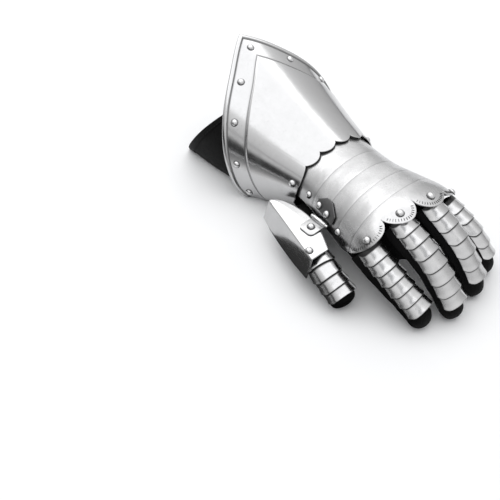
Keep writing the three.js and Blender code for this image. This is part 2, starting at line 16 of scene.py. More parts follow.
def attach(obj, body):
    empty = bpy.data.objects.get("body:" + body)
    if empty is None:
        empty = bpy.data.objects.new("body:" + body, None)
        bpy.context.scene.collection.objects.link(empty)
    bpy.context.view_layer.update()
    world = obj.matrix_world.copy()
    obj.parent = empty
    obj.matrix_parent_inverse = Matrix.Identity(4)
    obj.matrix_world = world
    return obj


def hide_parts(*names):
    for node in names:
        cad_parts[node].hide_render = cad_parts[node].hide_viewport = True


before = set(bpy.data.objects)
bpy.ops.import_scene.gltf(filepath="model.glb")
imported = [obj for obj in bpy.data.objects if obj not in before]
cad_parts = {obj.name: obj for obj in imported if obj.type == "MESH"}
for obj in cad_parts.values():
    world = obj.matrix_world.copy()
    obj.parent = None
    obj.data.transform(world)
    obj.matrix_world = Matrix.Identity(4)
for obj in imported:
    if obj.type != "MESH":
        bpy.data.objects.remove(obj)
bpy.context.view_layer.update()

# %% [markdown]
# Everything is drawn in millimetres from the peak of the cuff, as the maker would measure it on the
# bench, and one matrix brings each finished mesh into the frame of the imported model.

# %% Bench measures
MM = 0.001
PEAK_X, PEAK_Y = 14.5, 154  # the peak of the cuff in the frame
TO_FRAME = Matrix.Scale(MM, 4) @ Matrix.Translation((PEAK_X, PEAK_Y, 0))
PLATE, SCALE, LEATHER = 1.2, 0.9, 2.0  # thicknesses
GAP = 0.35  # between two pieces that touch on the real thing
print("plate", PLATE, "mm, scales", SCALE, "mm, leather", LEATHER, "mm")

# %% [markdown]
# A bent plate has few edges to measure from, so its form is kept as a short table of sections, the
# way a boat builder keeps a hull. A smooth curve through the rows gives any section between them.
# The curve could come from a spline object, but a formula can be asked for one point at a time.


# %% Reading a table of sections
def read(table, key, place, column):
    """Reads a column of a table at a place along another, by smooth interpolation."""
    keys, values = table[key], table[column]
    if keys[-1] < keys[0]:
        keys, values = keys[::-1], values[::-1]
    last = len(keys) - 2
    i = min(max(sum(k <= place for k in keys) - 1, 0), last)

    def slope(n):
        return (values[n + 1] - values[n]) / (keys[n + 1] - keys[n])

    run = keys[i + 1] - keys[i]
    t = (place - keys[i]) / run
    start = (slope(i - 1) + slope(i)) / 2 if i > 0 else slope(i)
    end = (slope(i) + slope(i + 1)) / 2 if i < last else slope(i)
    if t < 0:
        return values[i] + start * t * run
    if t > 1:
        return values[i + 1] + end * (t - 1) * run
    return (
        values[i] * (1 + 2 * t) * (1 - t) ** 2
        + start * run * t * (1 - t) ** 2
        + values[i + 1] * t * t * (3 - 2 * t)
        + end * run * t * t * (t - 1)
    )


def section(table, y):
    """Every column of a table at one place along Y, by name."""
    return {column: read(table, "y", y, column) for column in table if column != "y"}


print("halfway from 0 to 4:", read({"y": (0, 10), "x": (0, 4)}, "y", 5, "x"))


# %% Blends and places round a line
def lerp(a, b, share):
    """A share of the way from a to b."""
    return a + (b - a) * share


def smooth(low, high, value):
    """0 at low, 1 at high and a soft S between them."""
    t = min(max((value - low) / (high - low), 0), 1)
    return t * t * (3 - 2 * t)


def bell(distance, width):
    """1 at no distance, falling away over a width."""
    return math.exp(-((distance / width) ** 2))


def bulge(share, power):
    """0 at both ends and 1 in the middle. A small power makes it blunt."""
    return (4 * share * (1 - share)) ** power


def spread(start, stop, steps):
    """Evenly spaced values, both ends among them."""
    return [lerp(start, stop, i / steps) for i in range(steps + 1)]


def arch_radius(angle, half, height, power):
    """How far an arch reaches at an angle. A power of 2 makes an ellipse, and more is squarer."""
    side = abs(math.sin(math.radians(angle)) / half) ** power
    up = abs(math.cos(math.radians(angle)) / height) ** power
    return (side + up) ** (-1 / power)


def around(x, y, z, radius, angle):
    """A point round a line along Y. 0 degrees is up and 90 is the thumb side."""
    turn = math.radians(angle)
    return Vector((x - radius * math.sin(turn), y, z + radius * math.cos(turn)))


print("10 mm to the thumb side:", tuple(around(0, 0, 0, 10, 90)))

# %% [markdown]
# The camera comes first, so that each piece can be looked at as it is made. It stands between the
# fingers and the thumb and looks down at a little under 50 degrees, through a normal lens.

# %% Camera
CAMERA_PLACE = Vector((-0.38717, -0.47948, 0.46701))  # in metres from the peak of the cuff
CAMERA_RIGHT = Vector((0.76079, -0.64891, 0.01078))
CAMERA_UP = Vector((0.47312, 0.56590, 0.67521))

camera_data = bpy.data.cameras.new("camera")
camera_data.sensor_width = 36
camera_data.lens = 49.56
camera_data.shift_x = -0.0198
camera_data.shift_y = 0.0162
camera = bpy.data.objects.new("camera", camera_data)
bpy.context.scene.collection.objects.link(camera)
camera_turn = Matrix((CAMERA_RIGHT, CAMERA_UP, CAMERA_RIGHT.cross(CAMERA_UP))).transposed()
peak = Vector((PEAK_X, PEAK_Y, 0)) * MM
camera.matrix_world = Matrix.Translation(CAMERA_PLACE + peak) @ camera_turn.to_4x4()
bpy.context.scene.camera = camera
print("camera at", tuple(camera.location))

# %% [markdown]
# A finish is a small graph of shader nodes. To keep the sums readable, a value in the graph is
# wrapped so that + - * / add the Math nodes, and every other node comes from one method.


# %% Shader values
class Value:
    """The output of a shader node. Arithmetic on it adds Math nodes."""

    def __init__(self, finish, socket):
        self.finish, self.socket = finish, socket

    def math(self, operation, *values):
        return self.finish.node("Math", {"operation": operation}, dict(enumerate(values)))

    def __add__(self, other):
        return self.math("ADD", self, other)

    __radd__ = __add__

    def __sub__(self, other):
        return self.math("SUBTRACT", self, other)

    def __rsub__(self, other):
        return self.math("SUBTRACT", other, self)

    def __mul__(self, other):
        return self.math("MULTIPLY", self, other)

    __rmul__ = __mul__

    def __truediv__(self, other):
        return self.math("DIVIDE", self, other)

    def __rtruediv__(self, other):
        return self.math("DIVIDE", other, self)


# %% Finishes
class Finish:
    """A material whose Principled shader is filled in by name."""

    # The Mix node has sockets for numbers, vectors and colours. These are the ones for colours.
    MIX_FACTOR, MIX_FIRST, MIX_SECOND, MIX_RESULT = 0, 6, 7, 2

    def __init__(self, name, **constants):
        self.material = bpy.data.materials.new(name)
        self.material.use_nodes = True
        self.tree = self.material.node_tree
        self.shader = self.tree.nodes["Principled BSDF"]
        for socket, value in constants.items():
            self.set(socket.replace("_", " "), value)

    def fill(self, target, value):
        """Links a value to a socket, or sets a plain number or colour on it."""
        if isinstance(value, Value):
            self.tree.links.new(value.socket, target)
        else:
            target.default_value = value

    def set(self, socket, value):
        self.fill(self.shader.inputs[socket], value)

    def node(self, kind, settings=None, inputs=None, output=0):
        """Adds a node, with its settings first and then what goes into its sockets."""
        made = self.tree.nodes.new("ShaderNode" + kind)
        for key, value in (settings or {}).items():
            if key == "stops":
                self._stops(made.color_ramp, value)
            else:
                setattr(made, key, value)
        for key, value in (inputs or {}).items():
            self.fill(made.inputs[key], value)
        return Value(self, made.outputs[output])

    @staticmethod
    def _stops(ramp, stops):
        while len(ramp.elements) < len(stops):
            ramp.elements.new(0.5)
        for element, (place, value) in zip(ramp.elements, stops):
            element.position = place
            element.color = (value, value, value, 1)

    def place(self, stretch=(1, 1, 1), turn=(0, 0, 0)):
        """Object coordinates, stretched and turned to give a pattern its direction."""
        coordinates = self.node("TexCoord", output="Object")
        inputs = {"Vector": coordinates, "Scale": stretch, "Rotation": turn}
        return self.node("Mapping", inputs=inputs)

    def noise(self, scale, detail, rough, place=None, distortion=0.0):
        """A cloudy pattern with about so many spots to the metre."""
        inputs = {"Scale": scale, "Detail": detail, "Roughness": rough, "Distortion": distortion}
        inputs["Vector"] = place or self.place()
        return self.node("TexNoise", inputs=inputs)

    def ramp(self, value, *stops):
        """A tone for each value, from stops of (value, tone)."""
        return self.node("ValToRGB", {"stops": stops}, {"Fac": value})

    def mix(self, first, second, factor):
        """A colour between two colours."""
        inputs = {self.MIX_FACTOR: factor, self.MIX_FIRST: first, self.MIX_SECOND: second}
        return self.node("Mix", {"data_type": "RGBA"}, inputs, output=self.MIX_RESULT)

    def bump(self, height, distance, below=None):
        """A surface that stands up to a distance, in metres, over the bumps below it."""
        inputs = {"Height": height, "Distance": distance}
        if below:
            inputs["Normal"] = below
        return self.node("Bump", inputs=inputs)


def grey(tone, blue=0.0):
    """A grey with a touch more blue."""
    return (tone, tone, tone + blue, 1)


print("a mid grey:", grey(0.5))

# %% [markdown]
# ## Polished steel
# Hand-finished plate is nearly a mirror, but its reflections wander over low hammer marks and are
# blurred by fine polishing lines and by faint clouds of grey where the oil has dried. The clouds go
# into the colour and the roughness, and the hammer marks and the lines into the bump. Shade is
# painted in creases, under edges and round rivets, and each mesh says where in an attribute.


# %% Steel
MARK_DEPTH, DENT_DEPTH, LINE_DEPTH = 0.0008, 0.00009, 0.000004  # in metres
# Pits keep a share of the tone, and painted shade darkens the steel down to the second tone.
PIT_TONE, SHADE_TONE = 0.55, 0.02


def steel(name, tone, rough, cloud, hammer=1.0, line_turn=(0, 0, 0)):
    """Steel of a tone and a roughness. cloud is how dark its patches are, hammer how dented."""
    finish = Finish(name, Metallic=1.0)
    clouds = finish.noise(scale=34, detail=5, rough=0.62, distortion=0.6)
    clouds = finish.ramp(clouds, (0.34, 0), (0.7, 1))
    fine = finish.ramp(finish.noise(scale=190, detail=4, rough=0.6), (0.35, 0), (0.68, 1))
    lined = finish.place(stretch=(1, 0.05, 1), turn=line_turn)
    lines = finish.noise(scale=1500, detail=3, rough=0.6, place=lined)
    pits = finish.ramp(finish.noise(scale=620, detail=2, rough=0.5), (0.27, 1), (0.33, 0))
    bright = grey(tone, blue=tone * 0.008)
    dull = grey(tone * (1 - cloud), blue=tone * 0.005)
    colour = finish.mix(bright, dull, clouds * 0.65 + fine * 0.25)
    colour = finish.mix(colour, grey(tone * PIT_TONE), pits * 0.35)
    # An attribute of each mesh paints shade into the colour and blurs the reflection there.
    grime = finish.node("Attribute", {"attribute_name": "grime"}, output="Fac")
    finish.set("Base Color", finish.mix(colour, grey(SHADE_TONE), grime))
    blur = clouds * 0.08 + fine * 0.04 + lines * 0.05 + grime * 0.3
    finish.set("Roughness", blur + (rough - 0.05))
    marks = finish.noise(scale=22, detail=1, rough=0.35)
    wander = finish.bump(marks, MARK_DEPTH * hammer)
    dents = finish.noise(scale=80, detail=2, rough=0.5)
    dented = finish.bump(dents, DENT_DEPTH * hammer, below=wander)
    finish.set("Normal", finish.bump(lines, LINE_DEPTH, below=dented))
    return finish.material


plate_steel = steel("polished_plate", 0.52, 0.14, cloud=0.07)
hand_steel = steel("satin_plate", 0.54, 0.25, cloud=0.26, hammer=3.2)
scale_steel = steel("satin_scale", 0.54, 0.19, cloud=0.1, hammer=0.3, line_turn=(0, 0, 0.1))
hinge_steel = steel("hinge_steel", 0.52, 0.22, cloud=0.14, hammer=0.5)
# The same hinge steel with shade painted in, darker, for the hand leaf.
shaded_hinge_steel = steel("shaded_hinge_steel", 0.16, 0.28, cloud=0.2, hammer=0.5)
rivet_steel = steel("rivet_steel", 0.62, 0.12, cloud=0.06, hammer=0.15)
print("steel finishes made")

# %% [markdown]
# ## Black glove leather
# The glove is dyed right through and hardly shines. Close up it has a pebbled grain with finer
# creases between the pebbles, and it is a shade lighter where it has rubbed. An image of leather
# could be wrapped on, but cells and noise never repeat and need no file.


# %% Leather
WRINKLE_DEPTH, PEBBLE_DEPTH, WORN = 0.0006, 0.00018, 2.6


def leather(name, tone):
    """Dyed leather, or the thread that sews it."""
    finish = Finish(name, Specular_IOR_Level=0.08)
    settings = {"feature": "DISTANCE_TO_EDGE"}
    inputs = {"Vector": finish.place(), "Scale": 780.0, "Randomness": 0.95}
    cells = finish.node("TexVoronoi", settings, inputs)
    pebbles = finish.ramp(cells, (0.0, 0), (0.22, 1))
    wrinkles = finish.noise(scale=230, detail=6, rough=0.65, distortion=0.8)
    rubbed = finish.ramp(finish.noise(scale=45, detail=4, rough=0.6), (0.45, 0), (0.75, 1))
    deep = grey(tone, blue=tone * 0.05)
    worn = grey(tone * WORN, blue=tone * 0.1)
    finish.set("Base Color", finish.mix(deep, worn, rubbed * pebbles * 0.6))
    finish.set("Roughness", rubbed * -0.1 + wrinkles * 0.16 + 0.5)
    soft = finish.bump(wrinkles, WRINKLE_DEPTH)
    finish.set("Normal", finish.bump(pebbles, PEBBLE_DEPTH, below=soft))
    return finish.material


glove_leather = leather("glove_leather", 0.0025)
thread = leather("waxed_thread", 0.02)
print("leather finishes made")

# %% [markdown]
# ## Making sheets
# Nearly every part is a thin sheet that has been bent. A flat grid is made by the grid operator,
# each crossing is moved to where the hammer would put it, and the solidify operator then gives the
# sheet its thickness. Only sharp edges are bevelled, because they catch the light.

# %% Bending and thickening a sheet
SEAM = 0.004  # edges this close are one edge
SHARP = math.radians(50)


def bent(columns, rows, place, closed=False, grime=None):
    """A grid with a line for each column and row, each crossing moved to place(column, row).

    The last argument says how much shade is painted at (column, row), from 0 to 1."""
    bm = bmesh.new()
    bm.loops.layers.uv.new("UVMap")
    darkness = bm.verts.layers.float.new("grime")
    across, along = len(columns) - 1, len(rows) - 1
    bmesh.ops.create_grid(bm, x_segments=across, y_segments=along, size=0.5, calc_uvs=True)
    for v in bm.verts:
        column = columns[round((v.co.x + 0.5) * across)]
        row = rows[round((v.co.y + 0.5) * along)]
        v.co = place(column, row)
        v[darkness] = grime(column, row) if grime else 0
    if closed:
        bmesh.ops.remove_doubles(bm, verts=bm.verts, dist=SEAM)
    bmesh.ops.recalc_face_normals(bm, faces=bm.faces)
    return bm


def thicken(bm, thickness, outward):
    """Gives a sheet its thickness, away from the side that outward(face centre) points to."""
    face = bm.faces[:][len(bm.faces) // 2]
    if face.normal.dot(outward(face.calc_center_median())) < 0:
        bmesh.ops.reverse_faces(bm, faces=bm.faces)
    bmesh.ops.solidify(bm, geom=bm.faces[:], thickness=thickness)


def soften(bm, width):
    """Rounds the sharp edges."""
    sharp = [e for e in bm.edges if e.is_manifold and e.calc_face_angle() > SHARP]
    bmesh.ops.bevel(
        bm, geom=sharp, offset=width, segments=2, profile=0.5, affect="EDGES", material=-1,
        clamp_overlap=False,
    )


# %% Putting a piece into the frame
def piece(name, bm, material, slot, *nodes):
    """Puts a finished mesh into the frame, on the one body, in place of its plain solids."""
    bmesh.ops.transform(bm, matrix=TO_FRAME, verts=bm.verts)
    for face in bm.faces:
        face.smooth = True
    mesh = bpy.data.meshes.new(name)
    bm.to_mesh(mesh)
    bm.free()
    made = bpy.data.objects.new(name, mesh)
    bpy.context.scene.collection.objects.link(made)
    for finish in material if isinstance(material, tuple) else (material,):
        mesh.materials.append(finish)
    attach(made, "root")
    if nodes:
        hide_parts(*nodes)
    return made


def normal_of(surface, a, b, step_a, step_b):
    """The way a surface(a, b) faces, from points a small step to either side."""
    along_a = surface(a + step_a, b) - surface(a - step_a, b)
    along_b = surface(a, b + step_b) - surface(a, b - step_b)
    return along_a.cross(along_b).normalized()


def paced(points, pitch):
    """The index of each point on a line where another pitch has been walked."""
    run = 0
    for i, (here, there) in enumerate(zip(points, points[1:])):
        step = (there - here).length
        if int((run + step) / pitch) > int(run / pitch):
            yield i
        run += step


def sided(point, *sides):
    """The matrix that puts a unit shape at a point, with three given sides."""
    place = Matrix(sides).transposed().to_4x4()
    place.translation = point
    return place


# %% [markdown]
# ## The cuff
# The cuff is a cone that flares to a point. Its rim is rolled over a wire, a flat border carries
# the rivets, and behind the border the body is raised a little by a step. Its wrist edge is cut
# into scallops. A lathe can't turn it, because the rim isn't round, so its whole section is one
# closed line, from the wrist over the outside, round the rolled rim and back inside, and a grid
# carries it round the arm.

# %% Cuff surface
RIM = {
    "angle": (0, 27, 56, 86, 112, 126, 150, 180),
    "radius": (82.5, 74.4, 73, 73, 73.5, 70, 66, 65),
    "y": (0, -27, -48.6, -66, -80, -85, -90, -92),
}
AXIS = 36  # height of the line that the angles turn round
PEAK_ROUND, FLARE = 14, 1.18
WRIST_Y, WRIST_HALF, WRIST_TOP, WRIST_SUNK = -147, 49.8, 70.4, 3


def rim_point(angle):
    """Where the rim is at an angle."""
    y, radius = (read(RIM, "angle", abs(angle), column) for column in ("y", "radius"))
    return around(0, y, AXIS, radius, angle)


def wrist_point(angle):
    """Where the cone would end at the wrist. Below the axis it reaches under the floor."""
    height = AXIS + WRIST_SUNK if abs(angle) > 90 else WRIST_TOP - AXIS
    return around(0, WRIST_Y, AXIS, arch_radius(angle, WRIST_HALF, height, 2), angle)


def cuff_surface(angle, down):
    """The cone is round behind the peak, and only its rim is cut to a point."""
    rounded = abs(angle) * (1 - bell(angle, PEAK_ROUND))
    wrist = wrist_point(angle)
    y = lerp(rim_point(angle).y, WRIST_Y, down)
    full = read(RIM, "angle", rounded, "y")
    share = 1 - max((y - WRIST_Y) / (full - WRIST_Y), 0) ** FLARE
    rim = around(0, y, AXIS, read(RIM, "angle", rounded, "radius"), angle)
    return Vector((lerp(rim.x, wrist.x, share), y, max(lerp(rim.z, wrist.z, share), 0)))


def cuff_normal(angle, down):
    return normal_of(cuff_surface, angle, down, 0.5, 0.004)


print("cuff from the rim to the wrist:", rim_point(0).y - WRIST_Y, "mm")

# %% Distances on the cuff
WRIST_LOBES = (0, 31, 56, 104)
WRIST_LOBE_DEPTH, WRIST_LOBE_POWER, WRIST_NOTCH_Y = 5, 0.8, -139.5
PEAK_SIDE = 3  # within so many degrees of the peak the rim's direction is taken on one side


def down_from_rim(angle, reach):
    """The share of the way down that is a reach in from the rim, measured square to it."""
    place = abs(angle)
    length = rim_point(angle).y - WRIST_Y
    if place < PEAK_SIDE:
        along = rim_point(place + 2) - rim_point(place)
    else:
        along = rim_point(angle + 1) - rim_point(angle - 1)
    return reach * along.length / math.hypot(along.x, along.z) / length


def down_at_y(angle, y):
    """The share of the way down to a place along Y."""
    rim = rim_point(angle).y
    return (rim - y) / (rim - WRIST_Y)


def wrist_edge_y(angle):
    """The scalloped edge at the wrist. A lobe hangs between each two notches."""
    place = abs(angle)
    for low, high in zip(WRIST_LOBES, WRIST_LOBES[1:]):
        if low <= place < high:
            share = (place - low) / (high - low)
            return WRIST_NOTCH_Y - WRIST_LOBE_DEPTH * bulge(share, WRIST_LOBE_POWER)
    return WRIST_NOTCH_Y


print("deepest scallop ends at", wrist_edge_y(15.5), "mm")

# %% Cuff section
ROLL_REACH, ROLL_HEIGHT, ROLL_SQUARE, ROLL_TUCK = 2.3, 2.0, 0.75, 0.3
ROLL_END = 330  # past this turn the roll meets the inside of the plate
STEP_FROM, STEP_TO, STEP_RISE, STEP_MARGIN = 22.7, 25.3, 1.05, 0.3
BORDER_OUTSIDE = (22, 21.3, 20, 17, 14, 11, 8.5, 6.8, 6, 5.4, 5, 4.85)
BORDER_INSIDE = (5.3, 8, 14, 20, STEP_FROM)
EDGE = 0.28  # the chamfer round the wrist edge


def squared(wave):
    """A sine or a cosine, pushed out so that the two draw a rounded square."""
    return math.copysign(abs(wave) ** ROLL_SQUARE, wave)


def roll_row(turn):
    """A row on the rolled rim, at a turn round its wire."""
    c, s = math.cos(math.radians(turn)), math.sin(math.radians(turn))
    height = -PLATE * ROLL_TUCK * (1 - c) + ROLL_HEIGHT * squared(s)
    return "rim", ROLL_REACH * (1 + squared(c)), height - (PLATE if turn > ROLL_END else 0)


def cuff_rows():
    """Rows of (zone, amount, height): from the wrist edge, over the outside and back inside."""
    shares = [0.995, 0.985, 0.96, *spread(0.93, 0.05, 26), 0.02]
    step = spread(STEP_TO + STEP_MARGIN, STEP_FROM - STEP_MARGIN, 10)
    rows = [("edge", 0, -EDGE), ("edge", EDGE, 0)]
    rows += [("body", s, STEP_RISE * (1 - s)) for s in shares]
    rows += [("rim", r, STEP_RISE * smooth(STEP_FROM, STEP_TO, r)) for r in step]
    rows += [("rim", r, 0) for r in BORDER_OUTSIDE]
    rows += [roll_row(turn) for turn in spread(0, 360, 18)[1:-1]]
    rows += [("rim", r, -PLATE) for r in BORDER_INSIDE]
    rows += [("rim", STEP_TO, STEP_RISE - PLATE)]
    rows += [("body", s, STEP_RISE * (1 - s) - PLATE) for s in spread(0.08, 0.96, 11)]
    rows += [("edge", EDGE, -PLATE), ("edge", 0, EDGE - PLATE), ("edge", 0, -EDGE)]
    return rows


print("rows in the cuff's section:", len(cuff_rows()))


# %% Cuff mesh
INSIDE = -0.2  # the rows lower than this are on the inside
# Painted shade: a dark line at the foot of the rolled rim and another at the foot of the step.
ROLL_SHADE, ROLL_FOOT, ROLL_LINE = 0.75, 5, 0.6  # how dark, how far in and how wide
STEP_SHADE, STEP_FOOT, STEP_LINE = 0.7, 0.2, 0.7


def cuff_place(angle, row):
    """A point of the section, put on the cone. Where the cone meets the floor it is cut off."""
    zone, amount, height = row
    edge = down_at_y(angle, wrist_edge_y(angle) + (amount if zone == "edge" else 0))
    if zone == "rim":
        down = down_from_rim(angle, amount)
    elif zone == "body":
        down = lerp(down_from_rim(angle, STEP_TO + STEP_MARGIN), edge, amount)
    else:
        down = edge
    point = cuff_surface(angle, down)
    lifted = point + cuff_normal(angle, down) * height
    ground = 0 if height > -PLATE / 2 else min(PLATE, -height)
    lifted.z = max(lifted.z, ground) if point.z > 0 else ground
    return lifted


def cuff_shade(angle, row):
    """Shade is painted along the foot of the rolled rim and below the step, on the outside."""
    zone, reach, height = row
    if zone != "rim" or height < INSIDE:
        return 0.0
    roll = ROLL_SHADE * bell(reach - ROLL_FOOT, ROLL_LINE)
    return roll + STEP_SHADE * bell(reach - STEP_FROM + STEP_FOOT, STEP_LINE)


BESIDE = (0.25, 0.6, 1.2)  # lines this far from a notch or a crease keep it sharp
near = [a + side * d for a in WRIST_LOBES for d in (0, *BESIDE) for side in (1, -1)]
half = sorted({round(a, 3) for a in [*spread(0, 180, 72), *near] if 0 <= a <= 180})
columns = [-a for a in reversed(half[1:])] + half
bm = bent(columns, cuff_rows(), cuff_place, closed=True, grime=cuff_shade)
cuff = piece("cuff_shell", bm, plate_steel, "plates", "cuff_plate")
print("cuff:", len(cuff.data.polygons), "faces")

# %% [markdown]
# ## The hand plate
# One plate covers the back of the hand. Four creases divide it into low domed bands, and its front
# edge runs out in a lobe over each knuckle. It could be modelled flat and then bent by a modifier,
# but the lobes would stretch, so each point goes straight to its place on the domed surface.

# %% Hand plate surface
HAND = {
    "y": (-118, -139, -155, -190, -215, -245, -270),
    "x": (0, 0, -2.5, -9, -12, -15.5, -17),
    "half": (47.2, 47.6, 47, 49.5, 53.5, 57.5, 57),
    "top": (67.8, 68.2, 69, 73.5, 77.5, 81, 76),
    "centre": (36, 36, 36.5, 38, 39, 40, 38),
    "power": (2, 2, 2, 2, 2.15, 2.4, 2.4),
}
HAND_SIDE, HAND_REAR_Y = 93, -126
# Each lobe: the angles where it starts and stops, the y of the edge there, and its depth.
LOBES = (
    (-93, -43, -220, -250, 15),
    (-43, 1.6, -250, -245.5, 12.5),
    (1.6, 43, -245.5, -242, 14.5),
    (43, 93, -242, -216, 19),
)
LOBE_POWER = 0.6
CREASES = (-166, -187, -208, -229)
CREASE_RISE, CREASE_WIDTH = 0.6, 1.3
BAND_RISE = CREASE_RISE * 0.3
BANDS_FROM, BANDS_FULL = -140, -158


def hand_surface(angle, y):
    """The plain dome of the hand plate."""
    here = section(HAND, y)
    radius = arch_radius(angle, here["half"], here["top"] - here["centre"], here["power"])
    return around(here["x"], y, here["centre"], radius, angle)


def hand_normal(angle, y):
    return normal_of(hand_surface, angle, y, -0.5, 0.5)


def lobe_edge_y(angle):
    """The front edge of the plate at an angle."""
    start, stop, start_y, stop_y, depth = next((l for l in LOBES if angle <= l[1]), LOBES[-1])
    share = min(max((angle - start) / (stop - start), 0), 1)
    return lerp(start_y, stop_y, share) - depth * bulge(share, LOBE_POWER)


def crease_lift(y):
    """The bands stand a little proud, and each crease is a narrow groove between two of them."""
    near = min(abs(y - crease) for crease in CREASES)
    return BAND_RISE * smooth(BANDS_FROM, BANDS_FULL, y) * (1 - math.exp(-near / CREASE_WIDTH))


def on_hand(angle, y):
    """A point on the outside of the hand plate, and the way it faces."""
    normal = hand_normal(angle, y)
    return hand_surface(angle, y) + normal * crease_lift(y), normal


print("longest lobe ends at", min(map(lobe_edge_y, spread(-93, 93, 186))), "mm")

# %% Hand plate mesh
FIRST_BAND_Y = -149
CREASE_CLEAR = 2.4  # the even lines of a band start this far from its creases
LOBE_COLUMNS = 26
LOBE_SHARES = (0.012, 0.03, 0.06, *spread(0.1, 0.9, 10), 0.96, 1)
BUNCH, BUNCH_POWER = 3, 8
FOLD = 0.002  # rows that are bunched closer than this are one
# Painted shade: a dark line in each crease, and a painted shadow along the cuff's edge where it lies
# over the plate.
CREASE_SHADE, CREASE_LINE = 0.42, 0.32
COVER_SHADOW, COVER_FROM, COVER_FULL = 0.8, -1.3, -0.4  # before the cuff's edge and under it
INSIDE_X, INSIDE_Z = -10, 20  # a line inside the hand


def band_rows():
    """Rows of (y, share): y down to the last crease, then a share of the way to the edge."""
    rows = [(y, 0) for y in spread(HAND_REAR_Y, FIRST_BAND_Y, 28)]
    for high, low in zip((FIRST_BAND_Y, *CREASES), CREASES):
        down = [high - d for d in BESIDE]
        up = [*(low + d for d in reversed(BESIDE)), low]
        even = spread(high - CREASE_CLEAR, low + CREASE_CLEAR, 7)
        rows += [(y, 0) for y in (*down, *even, *up)]
    return rows + [(CREASES[-1], share) for share in LOBE_SHARES]


def hand_place(angle, row):
    """Where the edge comes back past a row, at the sides, the row is bunched up behind it."""
    y, share = row
    edge = lobe_edge_y(angle)
    y = max(y, edge + BUNCH - BUNCH * (y / CREASES[-1]) ** BUNCH_POWER)
    return on_hand(angle, lerp(y, edge, share))[0]


def hand_shade(angle, row):
    """Painted shade: a dark line in each crease, and a painted shadow where the cuff's edge lies on
    the plate.
    """
    y, share = row
    y = lerp(y, lobe_edge_y(angle), share)
    crease = bell(min(abs(y - c) for c in CREASES), CREASE_LINE)
    covered = smooth(COVER_FROM, COVER_FULL, y - wrist_edge_y(angle))
    return max(CREASE_SHADE * crease, COVER_SHADOW * covered)


columns = []
for start, stop, *_ in LOBES:
    waves = [(1 - math.cos(math.pi * i / LOBE_COLUMNS)) / 2 for i in range(LOBE_COLUMNS)]
    columns += [lerp(start, stop, wave) for wave in waves]
bm = bent([*columns, float(HAND_SIDE)], band_rows(), hand_place, grime=hand_shade)
bmesh.ops.remove_doubles(bm, verts=bm.verts, dist=FOLD)
thicken(bm, PLATE, lambda p: Vector((p.x - INSIDE_X, 0, p.z - INSIDE_Z)))
soften(bm, width=0.25)
hand = piece("hand_shell", bm, hand_steel, "plates", "hand_plate")
print("hand plate:", len(hand.data.polygons), "faces")

# %% [markdown]
# ## Engraved edge
# Short strokes are cut into the plate all along the lobes, each square to the edge. Blackening sits
# in the cuts. Cutting them with a boolean would break the clean grid of the plate, so each one is a
# small dark sliver let into the steel, and one cube is placed again and again.

# %% Strokes along the lobes
# Dark steel for the blackening in the engraved cuts, also used as the painted shadow ring under each
# rivet.
cut_black_and_ring_shadow = steel("blackened_cut_and_ring_shadow", 0.15, 0.5, cloud=0.3)
STROKE_LENGTH, STROKE_WIDTH, STROKE_DEPTH = 2.3, 0.42, 0.4
STROKE_PITCH, STROKE_INSET, STROKE_PROUD = 2.75, 3.0, 0.1
STROKE_NOTCH = 0.6  # degrees kept clear of a notch
STROKE_SIDE = HAND_SIDE - 10

bm = bmesh.new()
for start, stop, *_ in LOBES:
    angles = spread(start + STROKE_NOTCH, stop - STROKE_NOTCH, 240)
    edge = [on_hand(angle, lobe_edge_y(angle)) for angle in angles]
    points = [point for point, _ in edge]
    for i in paced(points, STROKE_PITCH):
        if abs(angles[i]) < STROKE_SIDE:
            ahead, normal = points[i + 1] - points[i], edge[i][1]
            inward = normal.cross(ahead).normalized()
            if inward.y < 0:
                inward = -inward
            along = ahead.normalized()
            sides = inward * STROKE_LENGTH, along * STROKE_WIDTH, normal * STROKE_DEPTH
            middle = points[i] + inward * STROKE_INSET + normal * STROKE_PROUD
            bmesh.ops.create_cube(bm, size=1, matrix=sided(middle, *sides))
strokes = piece("edge_strokes", bm, cut_black_and_ring_shadow, "plates")
print("strokes:", len(strokes.data.polygons) // 6)

# %% [markdown]
# ## The thumb plate
# The thumb is covered by one strip folded lengthwise, with a flat bright top and a steep outer
# side. A box could be bevelled into it, but a sheet carried over a table of sections keeps the fold
# as one line of the grid, so the fold stays crisp while both faces curve.

# %% Thumb plate
THUMB_TOP = 41
THUMB = {
    "y": (-137, -141, -150, -162, -176, -196, -215),
    "inner": (-74.5, -70.5, -66.5, -64, -64, -69, -79),
    "crease": (-78, -79, -81.2, -84.2, -87.8, -93, -98),
    "lower": (-84.5, -85.6, -88, -91, -94.5, -99.5, -103.5),
    "lower_z": (23, 22, 20, 18.5, 18, 19, 20.5),
}
THUMB_TURN, THUMB_TURN_SLOPE = 0.35, 1.2  # the inner edge turns down a little
THUMB_SIDE_POWER = 1.15


def thumb_surface(column, y):
    """0 is the inner edge, 1 the fold and 2 the lower edge of the outer side."""
    here = section(THUMB, y)
    side = max(column - 1, 0)
    x = lerp(lerp(here["inner"], here["crease"], min(column, 1)), here["lower"], side)
    top = THUMB_TOP - THUMB_TURN_SLOPE * max(THUMB_TURN - column, 0)
    return Vector((x, y, lerp(top, here["lower_z"], side**THUMB_SIDE_POWER)))


columns = [*spread(0, 0.94, 16), 0.975, 1, 1.03, 1.07, *spread(1.12, 2, 14)]
bm = bent(columns, spread(THUMB["y"][0], THUMB["y"][-1], 48), thumb_surface)
thicken(bm, PLATE, lambda p: Vector((-0.5, 0, 1)))
soften(bm, width=0.25)
thumb_plate = piece("thumb_shell", bm, plate_steel, "plates", "thumb_plate")
print("thumb plate:", len(thumb_plate.data.polygons), "faces")

